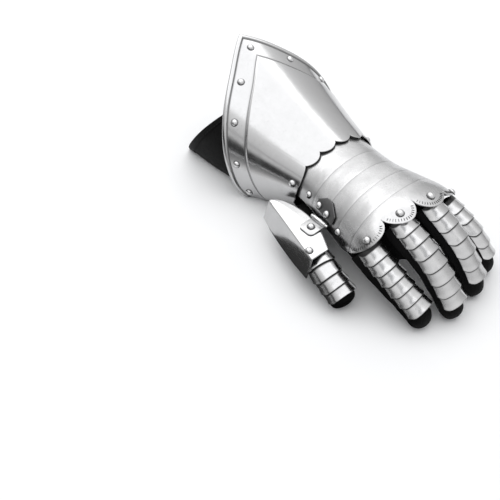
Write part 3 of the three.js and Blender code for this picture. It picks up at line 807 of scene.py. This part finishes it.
# %% [markdown]
# ## The hinge
# Two leaves meet at a pin. The thumb leaf is flat with rounded corners, so it is the hull round two
# circles and the ends at the pin. The hand leaf lies on the side of the hand plate, its far corners
# clipped, so it is bent over the plate's own surface.

# %% Thumb leaf
PIN_X, PIN_Z, PIN_RADIUS, PIN_FROM, PIN_TO = -62.9, 43, 1.5, -177, -197
LEAF_THICK, LEAF_WIDTH, LEAF_RIVET_X = 1.0, 15.6, -73
LEAF_END, LEAF_CORNER = 8, 4.2  # from the rivet to the end, and the radius of a corner
LEAF_Y = (PIN_FROM + PIN_TO) / 2
LEAF_Z = THUMB_TOP + GAP

bm = bmesh.new()
inset = LEAF_END - LEAF_CORNER
for z in (LEAF_Z, LEAF_Z + LEAF_THICK):
    rivet_place = Matrix.Translation((LEAF_RIVET_X, LEAF_Y, z))
    for side in (1, -1):
        beside = Matrix.Translation((0, side * inset, 0)) @ rivet_place
        corner = beside @ Matrix.Translation((-inset, 0, 0))
        bmesh.ops.create_circle(bm, cap_ends=False, segments=48, radius=LEAF_CORNER, matrix=corner)
        bmesh.ops.create_vert(bm, co=(PIN_X - PIN_RADIUS, LEAF_Y + side * LEAF_WIDTH / 2, z))
bmesh.ops.convex_hull(bm, input=bm.verts)
bmesh.ops.dissolve_limit(bm, angle_limit=0.02, verts=bm.verts, edges=bm.edges)
soften(bm, width=0.22)
piece("hinge_thumb_leaf", bm, hinge_steel, "hinge", "hinge_leaf_thumb")
print("thumb leaf", LEAF_WIDTH, "mm wide")

# %% Hand leaf and pin
TIP_ANGLE, ROOT_ANGLE, CLIP = 64, 81, 8
TIP_Y, FULL_Y = (-182, -190), (-173, -201)  # the leaf's two sides at its tip, and past the clips
BARREL_WALL, BARREL_SHORT = 0.75, 1.2


def leaf_lift(y):
    """How far the top of the leaf stands off the hand plate. The creases don't show in it."""
    return CREASE_RISE - crease_lift(y) + GAP + LEAF_THICK


def hand_leaf_place(angle, share):
    widened = min((angle - TIP_ANGLE) / CLIP, 1)
    y = lerp(*(lerp(tip, full, widened) for tip, full in zip(TIP_Y, FULL_Y)), share)
    return on_hand(angle, y)[0] + hand_normal(angle, LEAF_Y) * leaf_lift(y)


def rod(bm, radius, length):
    """A rod along Y on the hinge's line."""
    place = Matrix.Translation((PIN_X, LEAF_Y, PIN_Z)) @ Matrix.Rotation(math.pi / 2, 4, "X")
    bmesh.ops.create_cone(
        bm, cap_ends=True, segments=28, radius1=radius, radius2=radius, depth=length, matrix=place,
    )


clip_end = TIP_ANGLE + CLIP
angles = [*spread(TIP_ANGLE, clip_end, 8), *spread(clip_end + 1, ROOT_ANGLE, 8)]
bm = bent(angles, spread(0, 1, 20), hand_leaf_place)
thicken(bm, LEAF_THICK, lambda p: hand_normal(75, LEAF_Y))
soften(bm, width=0.2)
# The hand leaf takes the hinge steel with painted shade.
piece("hinge_hand_leaf", bm, shaded_hinge_steel, "hinge", "hinge_leaf_hand")

bm = bmesh.new()
rod(bm, PIN_RADIUS, PIN_FROM - PIN_TO)
rod(bm, PIN_RADIUS + BARREL_WALL, LEAF_WIDTH - BARREL_SHORT)
soften(bm, width=0.3)
piece("hinge_rod", bm, rivet_steel, "hinge", "hinge_pin")
print("hinge pin", PIN_FROM - PIN_TO, "mm long")

# %% [markdown]
# ## Rivets
# Every rivet is the same low dome. A sphere is flattened and cut off at the plate, and a copy of it
# is turned to face the way that its plate faces. The thin dark seat under it stands for the
# shadowed gap round its edge, which is too fine to be left to the light.

# %% A rivet
RIVET_RADIUS, RIVET_HEIGHT, RIVET_SIDES, RIVET_SUNK = 3.4, 2.75, 28, 0.05
RIVET_SHADE, DARK_TOP, DARK_FOOT = 0.75, 0.3, 0.02  # painted shade climbs a share of the height from the foot
SHADOW_RING_FOOT, SHADOW_RING_TOP, SHADOW_RING_THICK = RIVET_RADIUS + 0.45, RIVET_RADIUS + 0.35, 0.24
RIVET_FINISHES = (rivet_steel, cut_black_and_ring_shadow)
UP = Vector((0, 0, 1))


def dome(bm, point, normal):
    """A flattened half sphere, painted darker at its foot, on a thin dark ring painted as its
    shadow.
    """
    turn = UP.rotation_difference(normal).to_matrix().to_4x4()
    place = Matrix.Translation(point) @ turn
    size = Matrix.Diagonal((RIVET_RADIUS, RIVET_RADIUS, RIVET_HEIGHT, 1))
    grime = bm.verts.layers.float.get("grime") or bm.verts.layers.float.new("grime")
    made = bmesh.ops.create_uvsphere(
        bm, u_segments=RIVET_SIDES, v_segments=16, radius=1, matrix=place @ size
    )
    # Shade is painted on the foot of the dome, where it meets the plate.
    for v in made["verts"]:
        height = (v.co - point).dot(normal) / RIVET_HEIGHT
        v[grime] = RIVET_SHADE * smooth(DARK_TOP, DARK_FOOT, height)
    # A dictionary keeps its order, where a set would give the faces another order at each run.
    faces = dict.fromkeys(f for v in made["verts"] for f in v.link_faces)
    edges = dict.fromkeys(e for v in made["verts"] for e in v.link_edges)
    cut = bmesh.ops.bisect_plane(
        bm, geom=[*made["verts"], *edges, *faces], plane_co=point - normal * RIVET_SUNK,
        plane_no=-normal, clear_outer=True,
    )
    rim = [e for e in cut["geom_cut"] if isinstance(e, bmesh.types.BMEdge)]
    bmesh.ops.contextual_create(bm, geom=rim)
    # A thin dark ring under the dome, a painted shadow of the gap round its edge.
    shadow_ring = bmesh.ops.create_cone(
        bm, cap_ends=True, segments=RIVET_SIDES, radius1=SHADOW_RING_FOOT, radius2=SHADOW_RING_TOP,
        depth=SHADOW_RING_THICK, matrix=place,
    )
    for face in {f for v in shadow_ring["verts"] for f in v.link_faces}:
        face.material_index = RIVET_FINISHES.index(cut_black_and_ring_shadow)


def loose_rivet(name, point, normal):
    """A rivet that joins two pieces, so it is a part of its own."""
    bm = bmesh.new()
    dome(bm, point + normal * GAP, normal)
    piece(name.replace("rivet", "stud"), bm, RIVET_FINISHES, "rivets", name)


print("rivet heads", 2 * RIVET_RADIUS, "mm across")

# %% Rivets on one plate
BORDER_RIVETS = ((0, 14.5), (27, 11.5), (56, 11.5), (86, 11.5), (111, 11.5))  # angle, reach
SIDE_RIVETS = ((79, -158), (81, -210), (-82, -168), (-82, -187), (-82, -206), (-82, -222))

bm = bmesh.new()
for angle, reach in BORDER_RIVETS:
    for side in (1, -1) if angle else (1,):
        down = down_from_rim(side * angle, reach)
        dome(bm, cuff_surface(side * angle, down), cuff_normal(side * angle, down))
piece("cuff_border_rivets", bm, RIVET_FINISHES, "rivets")

bm = bmesh.new()
for angle, y in SIDE_RIVETS:
    dome(bm, *on_hand(angle, y))
piece("hand_side_rivets", bm, RIVET_FINISHES, "rivets")
print("border rivets:", 2 * len(BORDER_RIVETS) - 1, "and side rivets:", len(SIDE_RIVETS))

# %% Rivets that join two pieces
WRIST_RIVET = (79, -137)  # angle, y
LOBE_RIVETS = {
    "little": (-65, -249.5), "ring": (-23, -250.5), "middle": (25, -248), "index": (64, -243),
}
HINGE_RIVET_ANGLE, HINGE_RIVETS_Y = 76.5, (-177.5, -190.5)
THUMB_RIVET = Vector((-93, -206, THUMB_TOP))

for side, name in ((1, "thumb_side"), (-1, "outer_side")):
    angle = side * WRIST_RIVET[0]
    down = down_at_y(angle, WRIST_RIVET[1])
    loose_rivet("wrist_rivet_" + name, cuff_surface(angle, down), cuff_normal(angle, down))
for finger, place in LOBE_RIVETS.items():
    loose_rivet("lobe_rivet_" + finger, *on_hand(*place))
for i, y in enumerate(HINGE_RIVETS_Y):
    point, normal = on_hand(HINGE_RIVET_ANGLE, y)
    loose_rivet(f"hinge_rivet_hand_{i + 1}", point + normal * leaf_lift(y), normal)
loose_rivet("hinge_rivet_thumb", Vector((LEAF_RIVET_X, LEAF_Y, LEAF_Z + LEAF_THICK)), UP)
loose_rivet("thumb_plate_rivet", THUMB_RIVET, UP)
print("lobe rivets:", len(LOBE_RIVETS))

# %% [markdown]
# ## Fingers
# A finger of the glove follows a smooth curve through a few points, and the scales follow the same
# curve at a larger radius, so both ask it for their place. A curve object could be bevelled into a
# tube, but it couldn't tell the scales which way is up along it.

# %% Finger table
# line: points on the centre line. first, last: how far along it the first and last scales end.
# lean: degrees that the finger is rolled. span: how far round it a scale reaches to each side.
# square: the power of a scale's arch. cap: how far the leather tip stands out, in radii.
FINGERS = {
    "index": dict(
        line=((-60, -238, 48), (-56, -274, 26.5), (-52, -299, 11)),
        radius=11.3, scales=6, first=15, last=70, lean=0, span=72, square=2.4, cap=1,
    ),
    "middle": dict(
        line=((-31, -243, 63.5), (-26.5, -280, 40.5), (-23.5, -310, 11)),
        radius=11.3, scales=7, first=13.5, last=84.5, lean=-4, span=72, square=2.4, cap=1,
    ),
    "ring": dict(
        line=((3, -245, 63.5), (7.5, -280, 40.5), (10, -306, 11)),
        radius=11.3, scales=6, first=15.5, last=77, lean=-13, span=72, square=2.4, cap=1,
    ),
    "little": dict(
        line=((30.5, -244, 48.5), (35.5, -276, 31), (38, -296, 10.5)),
        radius=10.8, scales=5, first=15.5, last=61, lean=-25, span=72, square=2.4, cap=1,
    ),
    "thumb": dict(
        line=(
            (-36, -156, 21), (-60, -165, 23), (-77.5, -192, 25), (-86.8, -218, 23),
            (-87.5, -245, 10.6),
        ),
        radius=10.8, scales=4, first=86, last=116.8, lean=16, span=74, square=2.25, cap=0.68,
    ),
}
CURVE_STEPS = 120


def curve_points(line):
    """Points on a curve through a line's points, each part weighted by how long it is."""
    points = [Vector(p) for p in line]
    points = [points[0] * 2 - points[1], *points, points[-1] * 2 - points[-2]]
    found = []
    for i in range(1, len(points) - 2):
        a, b, c, d = points[i - 1 : i + 3]
        ab, bc, cd = (max((q - p).length, 1e-4) ** 0.5 for p, q in ((a, b), (b, c), (c, d)))
        start = ((b - a) / ab - (c - a) / (ab + bc) + (c - b) / bc) * bc
        end = ((c - b) / bc - (d - b) / (bc + cd) + (d - c) / cd) * bc
        for t in spread(0, 1, CURVE_STEPS)[:-1]:
            cubic = (2 * b - 2 * c + start + end) * t**3
            found.append(b + start * t + (3 * c - 3 * b - 2 * start - end) * t**2 + cubic)
    return [*found, points[-2]]


for name, finger in FINGERS.items():
    finger["points"] = curve_points(finger["line"])
    finger["runs"] = [0.0]  # how far along each point is
    for a, b in zip(finger["points"], finger["points"][1:]):
        finger["runs"].append(finger["runs"][-1] + (b - a).length)
    finger["length"] = finger["runs"][-1]
    print(name, "centre line", round(finger["length"], 1), "mm")


# %% Places along a finger
def frame_at(finger, along):
    """A point on a finger's centre line, with the ways that are ahead, aside and up there."""
    points, runs = finger["points"], finger["runs"]
    place = min(max(along, 0), finger["length"])
    i = min(max(sum(r <= place for r in runs) - 1, 0), len(runs) - 2)
    share = (place - runs[i]) / (runs[i + 1] - runs[i])
    low, high = max(i - 2, 0), min(i + 3, len(points) - 1)
    ahead = (points[high] - points[low]).normalized()
    point = points[i].lerp(points[i + 1], share) + ahead * (along - place)
    lean = math.radians(finger["lean"])
    aside = ahead.cross(Vector((-math.sin(lean), 0, math.cos(lean)))).normalized()
    return point, ahead, aside, aside.cross(ahead)


def around_finger(finger, along, angle, radius):
    """A point round a finger. 0 degrees is its upper side."""
    point, _, aside, up = frame_at(finger, along)
    turn = math.radians(angle)
    return point + up * radius * math.cos(turn) + aside * radius * math.sin(turn)


middle = FINGERS["middle"]
print("tip of the middle finger:", tuple(frame_at(middle, middle["length"])[0]))

# %% [markdown]
# ## Scales
# Each scale is a stretch of a cone. Its front edge stands off over the next scale, and its front
# corners are rounded so that they don't catch. An array of copies would repeat one scale, but each
# finger bends and leans in its own way, so every scale is bent afresh from the same few numbers.

# %% Shape of a scale
SCALE_OVERLAP, SCALE_STAND, SCALE_RISE = 3.2, 1.1, 1.5
CORNER, CORNER_FROM, CORNER_SHARE, CORNER_POWER = 3.4, 0.66, 0.34, 2.2
FRONT_FLARE, FRONT_FROM = 0.35, 0.72
SIDE_FLARE, SIDE_FROM = 0.1, 0.7
# Painted shadow on each scale, where it comes out from under the edge of the scale behind.
SCALE_SHADOW, DARK_END, DARK_START = 0.95, 1.9, 0.75  # past the edge of the scale behind
SCALE_ROWS = (0, 0.1, *spread(0.15, 0.42, 9), 0.5, 0.6, 0.7, 0.8, 0.9, 0.96, 1)


def scale_mesh(finger, end, pitch):
    """The scale whose front edge is at an end along the finger."""
    back, span = end - pitch - SCALE_OVERLAP, finger["span"]

    def front(angle):
        cut = max(0.0, (abs(angle) / span - CORNER_FROM) / CORNER_SHARE)
        return end - CORNER * cut**CORNER_POWER

    def grime(angle, share):
        """Shadow is painted where a scale comes out from under the one behind it."""
        out = lerp(back, front(angle), share) - (front(angle) - pitch)
        return SCALE_SHADOW * smooth(DARK_END, DARK_START, out)

    def place(angle, share):
        along = lerp(back, front(angle), share)
        flare = FRONT_FLARE * smooth(FRONT_FROM, 1, share)
        flare += SIDE_FLARE * smooth(SIDE_FROM, 1, abs(angle) / span)
        reach = finger["radius"] + SCALE_STAND + SCALE_RISE * share + SCALE + flare
        reach = arch_radius(angle, reach, reach, finger["square"])
        return around_finger(finger, along, angle, reach)

    bm = bent(spread(-span, span, 40), SCALE_ROWS, place, grime=grime)
    centre = frame_at(finger, (back + end) / 2)[0]
    thicken(bm, SCALE, lambda p: p - centre)
    soften(bm, width=0.2)
    return bm


# %% Rows of scales
for name, finger in FINGERS.items():
    pitch = (finger["last"] - finger["first"]) / (finger["scales"] - 1)
    for i in range(finger["scales"]):
        bm = scale_mesh(finger, finger["first"] + i * pitch, pitch)
        piece(f"{name}_lame_{i + 1}", bm, scale_steel, "scales", f"{name}_scale_{i + 1}")
print("scales:", sum(f["scales"] for f in FINGERS.values()))

# %% [markdown]
# ## The glove
# Each finger is two pieces of leather sewn along its sides, so a low welt runs down both sides and
# round the tip. The leather is fuller at the sides and toward the knuckle, and a little loose all
# over. Cloth simulation would drape it afresh at each change, so the looseness is a soft noise.

# %% Fingers of the glove
WELT_ANGLE, WELT_HEIGHT, WELT_WIDTH = 98, 0.75, 4.5
WELT_COLUMNS = (-7, -4.5, -2.2, 0, 2.2, 4.5, 7)
SWELL_ROOT, SWELL_TIP, SWELL_FROM, SWELL_TO = 4.6, 1.5, 0.1, 0.85
SWELL_ANGLE, SWELL_WIDTH = 94, 30
GLOVE_INSET, LOOSE_LESS, LOOSE_MOST = 0.45, 0.25, 0.25
FINGER_RUMPLE = (0.11, 0.55)  # spots to the millimetre, and height
TIP_TURNS = (8, 18, 28, 38, 48, 58, 67, 75, 82, 87, 90)


def rumple(point, scale, amount):
    """How far the leather stands in or out at a point, the same at every run."""
    return noise.fractal(point * scale, 1.0, 2.0, 3) * amount


def finger_place(finger):
    radius, length = finger["radius"], finger["length"]

    def place(angle, row):
        along, cap = row
        turn = math.radians(cap)
        reach = radius * math.cos(turn)
        if cap < 90:
            welt = bell(abs(angle) - WELT_ANGLE, WELT_WIDTH) * WELT_HEIGHT
            spot = around_finger(finger, along, angle, reach)
            loose = min(rumple(spot, *FINGER_RUMPLE) - LOOSE_LESS, LOOSE_MOST)
            swell = lerp(SWELL_ROOT, SWELL_TIP, smooth(SWELL_FROM, SWELL_TO, along / length))
            full = swell * bell(abs(angle) - SWELL_ANGLE, SWELL_WIDTH)
            reach += (full + welt - GLOVE_INSET + loose) * math.cos(turn) ** 0.5
        else:
            reach = 0
        out = along + finger["cap"] * radius * math.sin(turn)
        point = around_finger(finger, out, angle, reach)
        point.z = max(point.z, 0)
        return point

    return place


def finger_columns():
    """Even columns, with finer ones over the two welts."""
    welt = [s * (WELT_ANGLE + d) for s in (1, -1) for d in WELT_COLUMNS]
    plain = [a for a in spread(-180, 180, 40) if all(abs(a - w) > 2 for w in welt)]
    return sorted([*plain, *welt])


for name, finger in FINGERS.items():
    rows = [(a, 0) for a in spread(0, finger["length"], 60)]
    rows += [(finger["length"], turn) for turn in TIP_TURNS]
    bm = bent(finger_columns(), rows, finger_place(finger), closed=True)
    piece(f"{name}_glove_finger", bm, glove_leather, "leather", f"glove_{name}")
print("glove fingers:", len(FINGERS))

# %% [markdown]
# Between two fingers the leather goes on as a small web, with its free edge drawn back in a curve.
# It is one sheet hung between the sides of the two fingers.

# %% Webs between the fingers
WEB_REACH, WEB_SIDE, WEB_SINK, WEB_SAG, WEB_CURVE, WEB_THICK = 36, 92, 1, 2.0, 0.3, 1.4


def web_place(near, far):
    def place(across, along):
        arc = math.sin(math.pi * across)
        reach = WEB_REACH * along * (1 - WEB_CURVE * arc)
        left = around_finger(near, reach, -WEB_SIDE, near["radius"] - WEB_SINK)
        right = around_finger(far, reach, WEB_SIDE, far["radius"] - WEB_SINK)
        return left.lerp(right, across) - Vector((0, 0, WEB_SAG * arc))

    return place


for near, far in (("index", "middle"), ("middle", "ring"), ("ring", "little")):
    bm = bent(spread(0, 1, 16), spread(0, 1, 20), web_place(FINGERS[near], FINGERS[far]))
    thicken(bm, WEB_THICK, lambda p: UP)
    soften(bm, width=0.4)
    piece(f"web_{near}_{far}", bm, glove_leather, "leather")
print("webs reach", WEB_REACH, "mm along the fingers")

# %% [markdown]
# The palm and the sleeve are tubes with a flat underside where the glove lies on the table. The
# palm arches up from it toward the knuckles. It could have a table of its own, but the hand plate's
# sections, drawn in by a little more than the plate's thickness, keep the leather under the steel.

# %% Surface of the palm and the sleeve
SLEEVE = {
    "y": (20, -40, -72, -82, -96, -118),
    "x": (0, 0, 0, 0, 0, 0),
    "half": (70, 67.5, 62.5, 58, 52.5, 45.8),
    "top": (79, 79, 75, 73, 70, 66),
    "centre": (30, 32, 34, 34.5, 35, 36),
    "power": (2.3, 2.3, 2.2, 2.1, 2.05, 2),
    "floor": (0, 0, 0, 1.6, 1.6, 1.6),
    "round": (22, 22, 18, 8, 3, 2),
}
PALM = {
    "y": (-118, -142, -165, -190, -215, -245),
    "floor": (1.6, 1.8, 5, 13, 22, 32),
    "round": (2, 2, 5, 6, 6, 5),
}
GLOVE_CLEARANCE = PLATE + 0.7
SLEEVE_FRONT, HAND_FRONT = -118, -233


def glove_surface(angle, y, inset=0.0):
    """The leather's outside, or a place inset from it. round says how full the underside is."""
    sleeve = y > SLEEVE_FRONT
    here = section(SLEEVE, y) if sleeve else section(HAND, y) | section(PALM, y)
    inset_here = inset + (0 if sleeve else GLOVE_CLEARANCE)
    floor = max(here["floor"], 0)
    if abs(angle) > 90:
        height = here["centre"] - floor + here["round"] - inset
    else:
        height = here["top"] - here["centre"] - inset_here
    radius = arch_radius(angle, here["half"] - inset_here, height, here["power"])
    point = around(here["x"], y, here["centre"], radius, angle)
    point.z = max(point.z, floor + inset)
    return point


print("top of the glove at the knuckles:", glove_surface(0, HAND_FRONT).z, "mm")

# %% Sleeve
MOUTH_Y, MOUTH_SLOPE, MOUTH_MIDDLE = 13, 0.74, -10
HEM_END, HEM_THICK = 0.08, 0.5
HEM_SHARES = (0, 0.004, 0.01, *spread(0.02, 0.075, 5), 0.0795, 0.081)


def sleeve_place(angle, row):
    """The mouth is cut at a slope, and a hem stands proud all round it."""
    share, inset = row
    mouth = MOUTH_Y - MOUTH_SLOPE * glove_surface(angle, MOUTH_MIDDLE).z
    y = lerp(mouth, SLEEVE_FRONT + 0.01, share)
    hem = HEM_THICK if share < HEM_END else 0
    point = glove_surface(angle, y, inset + HEM_THICK - hem)
    if inset == 0:
        point.z = max(point.z, 0)
    return point


shares = [*HEM_SHARES, *spread(0.1, 1, 40)]
rows = [(s, 0) for s in reversed(shares)] + [(s, LEATHER) for s in shares]
bm = bent(spread(-180, 180, 120), rows, sleeve_place, closed=True)
sleeve = piece("sleeve_leather", bm, glove_leather, "leather", "glove_sleeve")
print("sleeve:", len(sleeve.data.polygons), "faces")

# %% Stitches along the hem
STITCH_LENGTH, STITCH_WIDTH, STITCH_HEIGHT = 2.3, 0.55, 0.4
STITCH_PITCH, STITCH_SHARE, STITCH_PROUD = 3.6, 0.07, 0.1
STITCH_LOWEST = 2  # under this height the hem lies on the table
SLEEVE_MIDDLE = 30

bm = bmesh.new()
hem_line = [sleeve_place(angle, (STITCH_SHARE, 0)) for angle in spread(-179, 179, 900)]
sewn = [i for i in paced(hem_line, STITCH_PITCH) if hem_line[i].z > STITCH_LOWEST]
for here, there in ((hem_line[i], hem_line[i + 1]) for i in sewn):
    outward = Vector((0, 1, 0)).cross(there - here).normalized()
    if outward.dot(Vector((here.x, 0, here.z - SLEEVE_MIDDLE))) <= 0:
        outward = -outward
    ahead = (there - here).normalized()
    side = outward.cross(ahead)
    sides = ahead * STITCH_LENGTH, side * STITCH_WIDTH, outward * STITCH_HEIGHT
    place = sided(here + outward * STITCH_PROUD, *sides)
    bmesh.ops.create_uvsphere(bm, u_segments=10, v_segments=6, radius=0.5, matrix=place)
piece("sleeve_stitches", bm, thread, "leather")
print("stitches:", len(sewn))

# %% Palm
FRONT_SHARES = (0.01, 0.03, 0.07, 0.13, 0.22, 0.35, 0.55, 0.8, 1)
FRONT_BULGE = 9
PALM_TUCK, PALM_CORE = 0.012, 4  # the leather is drawn toward a line a little over the centre
PALM_RUMPLE = (0.05, 0.9)


def palm_place(angle, row):
    """Past its last section the palm closes in a low bulge, hidden under the fingers."""
    y, shut = row
    point, hand = glove_surface(angle, y), section(HAND, y)
    centre = Vector((hand["x"], y, hand["centre"] + PALM_CORE))
    loose = rumple(point, *PALM_RUMPLE)
    point = point.lerp(centre, PALM_TUCK + max(loose, 0) * PALM_TUCK)
    out = FRONT_BULGE * math.sin(shut * math.pi / 2)
    return point.lerp(centre, shut) - Vector((0, out, 0))


rows = [(y, 0) for y in spread(SLEEVE_FRONT, HAND_FRONT, 56)]
rows += [(HAND_FRONT, share) for share in FRONT_SHARES]
bm = bent(spread(-180, 180, 110), rows, palm_place, closed=True)
palm = piece("palm_leather", bm, glove_leather, "leather", "glove_hand")
print("palm:", len(palm.data.polygons), "faces")

# %% [markdown]
# ## The studio
# Polished steel shows the room more than itself. The floor and the sky are pale, and a large soft
# light hangs over the part. An image of a room could be reflected instead, but then no single band
# in the steel could be moved.

# %% Floor, sky and light
bm = bmesh.new()
bmesh.ops.create_grid(bm, x_segments=1, y_segments=1, size=4)
floor_mesh = bpy.data.meshes.new("floor")
bm.to_mesh(floor_mesh)
bm.free()
floor = bpy.data.objects.new("floor", floor_mesh)
bpy.context.scene.collection.objects.link(floor)
floor_finish = Finish("studio_floor", Roughness=0.9)
floor_finish.set("Base Color", grey(0.93))
floor_mesh.materials.append(floor_finish.material)

world = bpy.data.worlds.new("studio")
bpy.context.scene.world = world
world.use_nodes = True
sky = world.node_tree.nodes["Background"]
sky.inputs["Color"].default_value = (0.97, 0.98, 1, 1)
sky.inputs["Strength"].default_value = 0.68

LAMP_PLACE, LAMP_TARGET = Vector((0.1, 0.3, 1.5)), Vector((0, 0, 0.05))
softbox = bpy.data.lights.new("overhead", "AREA")
softbox.shape = "RECTANGLE"
softbox.size, softbox.size_y = 2.2, 2.2
softbox.energy = 18.5
lamp = bpy.data.objects.new("overhead", softbox)
bpy.context.scene.collection.objects.link(lamp)
lamp.location = LAMP_PLACE
lamp.rotation_euler = (LAMP_TARGET - LAMP_PLACE).to_track_quat("-Z", "Y").to_euler()
print("overhead light", softbox.energy, "W")

# %% [markdown]
# Cards give the steel its bands. A ring of card stands round the part and glows more or less with
# height, brightest beyond the far side of the cuff and dark low down beyond the thumb. Two more
# cards lie on the floor at the thumb's side, where the steep sides of the steel look down at them.
# Lamps could do the same, but a card has a shape and a tone that can be placed. Every card shows
# in reflections alone.


# %% Cards for the reflections
def reflected_only(name, bm, tone):
    """A card that shows in reflections alone. tone(finish, x, y, z) gives its brightness."""
    mesh = bpy.data.meshes.new(name)
    bm.to_mesh(mesh)
    bm.free()
    card = bpy.data.objects.new(name, mesh)
    finish = Finish(name, Roughness=1.0, Specular_IOR_Level=0.0, Emission_Strength=1.0)
    finish.set("Base Color", grey(0))
    place = {"Vector": finish.place()}
    x, y, z = (finish.node("SeparateXYZ", inputs=place, output=axis) for axis in "XYZ")
    finish.set("Emission Color", tone(finish, x, y, z))
    mesh.materials.append(finish.material)
    card.visible_camera = False
    card.visible_shadow = False
    card.visible_diffuse = False
    bpy.context.scene.collection.objects.link(card)


RING_RADIUS, RING_HEIGHT, RING_FOOT = 1.4, 2.0, 0.002


def ring_tone(finish, x, y, z):
    """Pale, and darker toward the floor, with one bright side and one dark side."""

    def toward(azimuth, near, far):
        """1 within so many degrees of an azimuth, falling to 0 farther off."""
        turn = math.radians(azimuth)
        facing = (x * math.cos(turn) + y * math.sin(turn)) / RING_RADIUS * 0.5 + 0.5
        stops = [math.cos(math.radians(a)) * 0.5 + 0.5 for a in (far, near)]
        return finish.ramp(facing, (stops[0], 0), (stops[1], 1))

    height = z / RING_HEIGHT
    front = finish.ramp(height, (0, 0.32), (0.1, 0.7), (0.4, 1.05), (0.85, 1.3))
    right = finish.ramp(height, (0, 0.2), (0.08, 0.62), (0.4, 0.9), (0.6, 1.1), (0.85, 1.35))
    bright = finish.ramp(height, (0, 0.6), (0.05, 1.6), (1, 1.65))
    back = finish.ramp(height, (0, 0.25), (0.12, 0.7), (0.3, 0.95), (0.5, 1.2), (0.85, 1.3))
    dark = finish.ramp(
        height, (0, 0.1), (0.08, 0.05), (0.19, 0.06), (0.26, 0.75), (0.34, 0.95), (0.375, 0.4),
        (0.42, 0.9), (0.8, 1.15), (1, 1.3),
    )
    tone = finish.mix(front, right, toward(2, near=32, far=60))
    tone = finish.mix(tone, bright, toward(62, near=16, far=36))
    tone = finish.mix(tone, back, toward(118, near=16, far=30))
    return finish.mix(tone, dark, toward(165, near=25, far=43))


bm = bmesh.new()
edge = [bm.verts.new((RING_RADIUS, 0, height)) for height in (RING_FOOT, RING_HEIGHT)]
bmesh.ops.spin(
    bm, geom=[*edge, bm.edges.new(edge)], cent=(0, 0, 0), axis=(0, 0, 1), angle=2 * math.pi,
    steps=72, use_merge=True, use_duplicate=False,
)
reflected_only("ring_card", bm, ring_tone)
print("ring card", RING_RADIUS, "m from the part")


# %% Cards on the floor
def lying_card(name, middle, half, *stops):
    """A card that lies just over the floor. Its tone runs along X in stops."""
    start, stop = middle[0] - half[0], middle[0] + half[0]

    def tone(finish, x, y, z):
        return finish.ramp((x - start) / (stop - start), *stops)

    place = Matrix.Translation((*middle, 0.001)) @ Matrix.Diagonal((*half, 1, 1))
    bm = bmesh.new()
    bmesh.ops.create_grid(bm, x_segments=1, y_segments=1, size=1, matrix=place)
    reflected_only(name, bm, tone)


SIDE_STOPS = ((0, 0.2), (0.6, 0.27), (0.85, 0.42), (0.95, 0.75), (1, 1.0))
lying_card("side_card", (-0.46, 0.1), (0.32, 0.5), *SIDE_STOPS)
lying_card("thumb_card", (-0.134, -0.086), (0.079, 0.114), (0, 0.16), (0.5, 0.06), (1, 0.03))
bpy.context.scene.view_settings.view_transform = "Standard"
print("studio made")
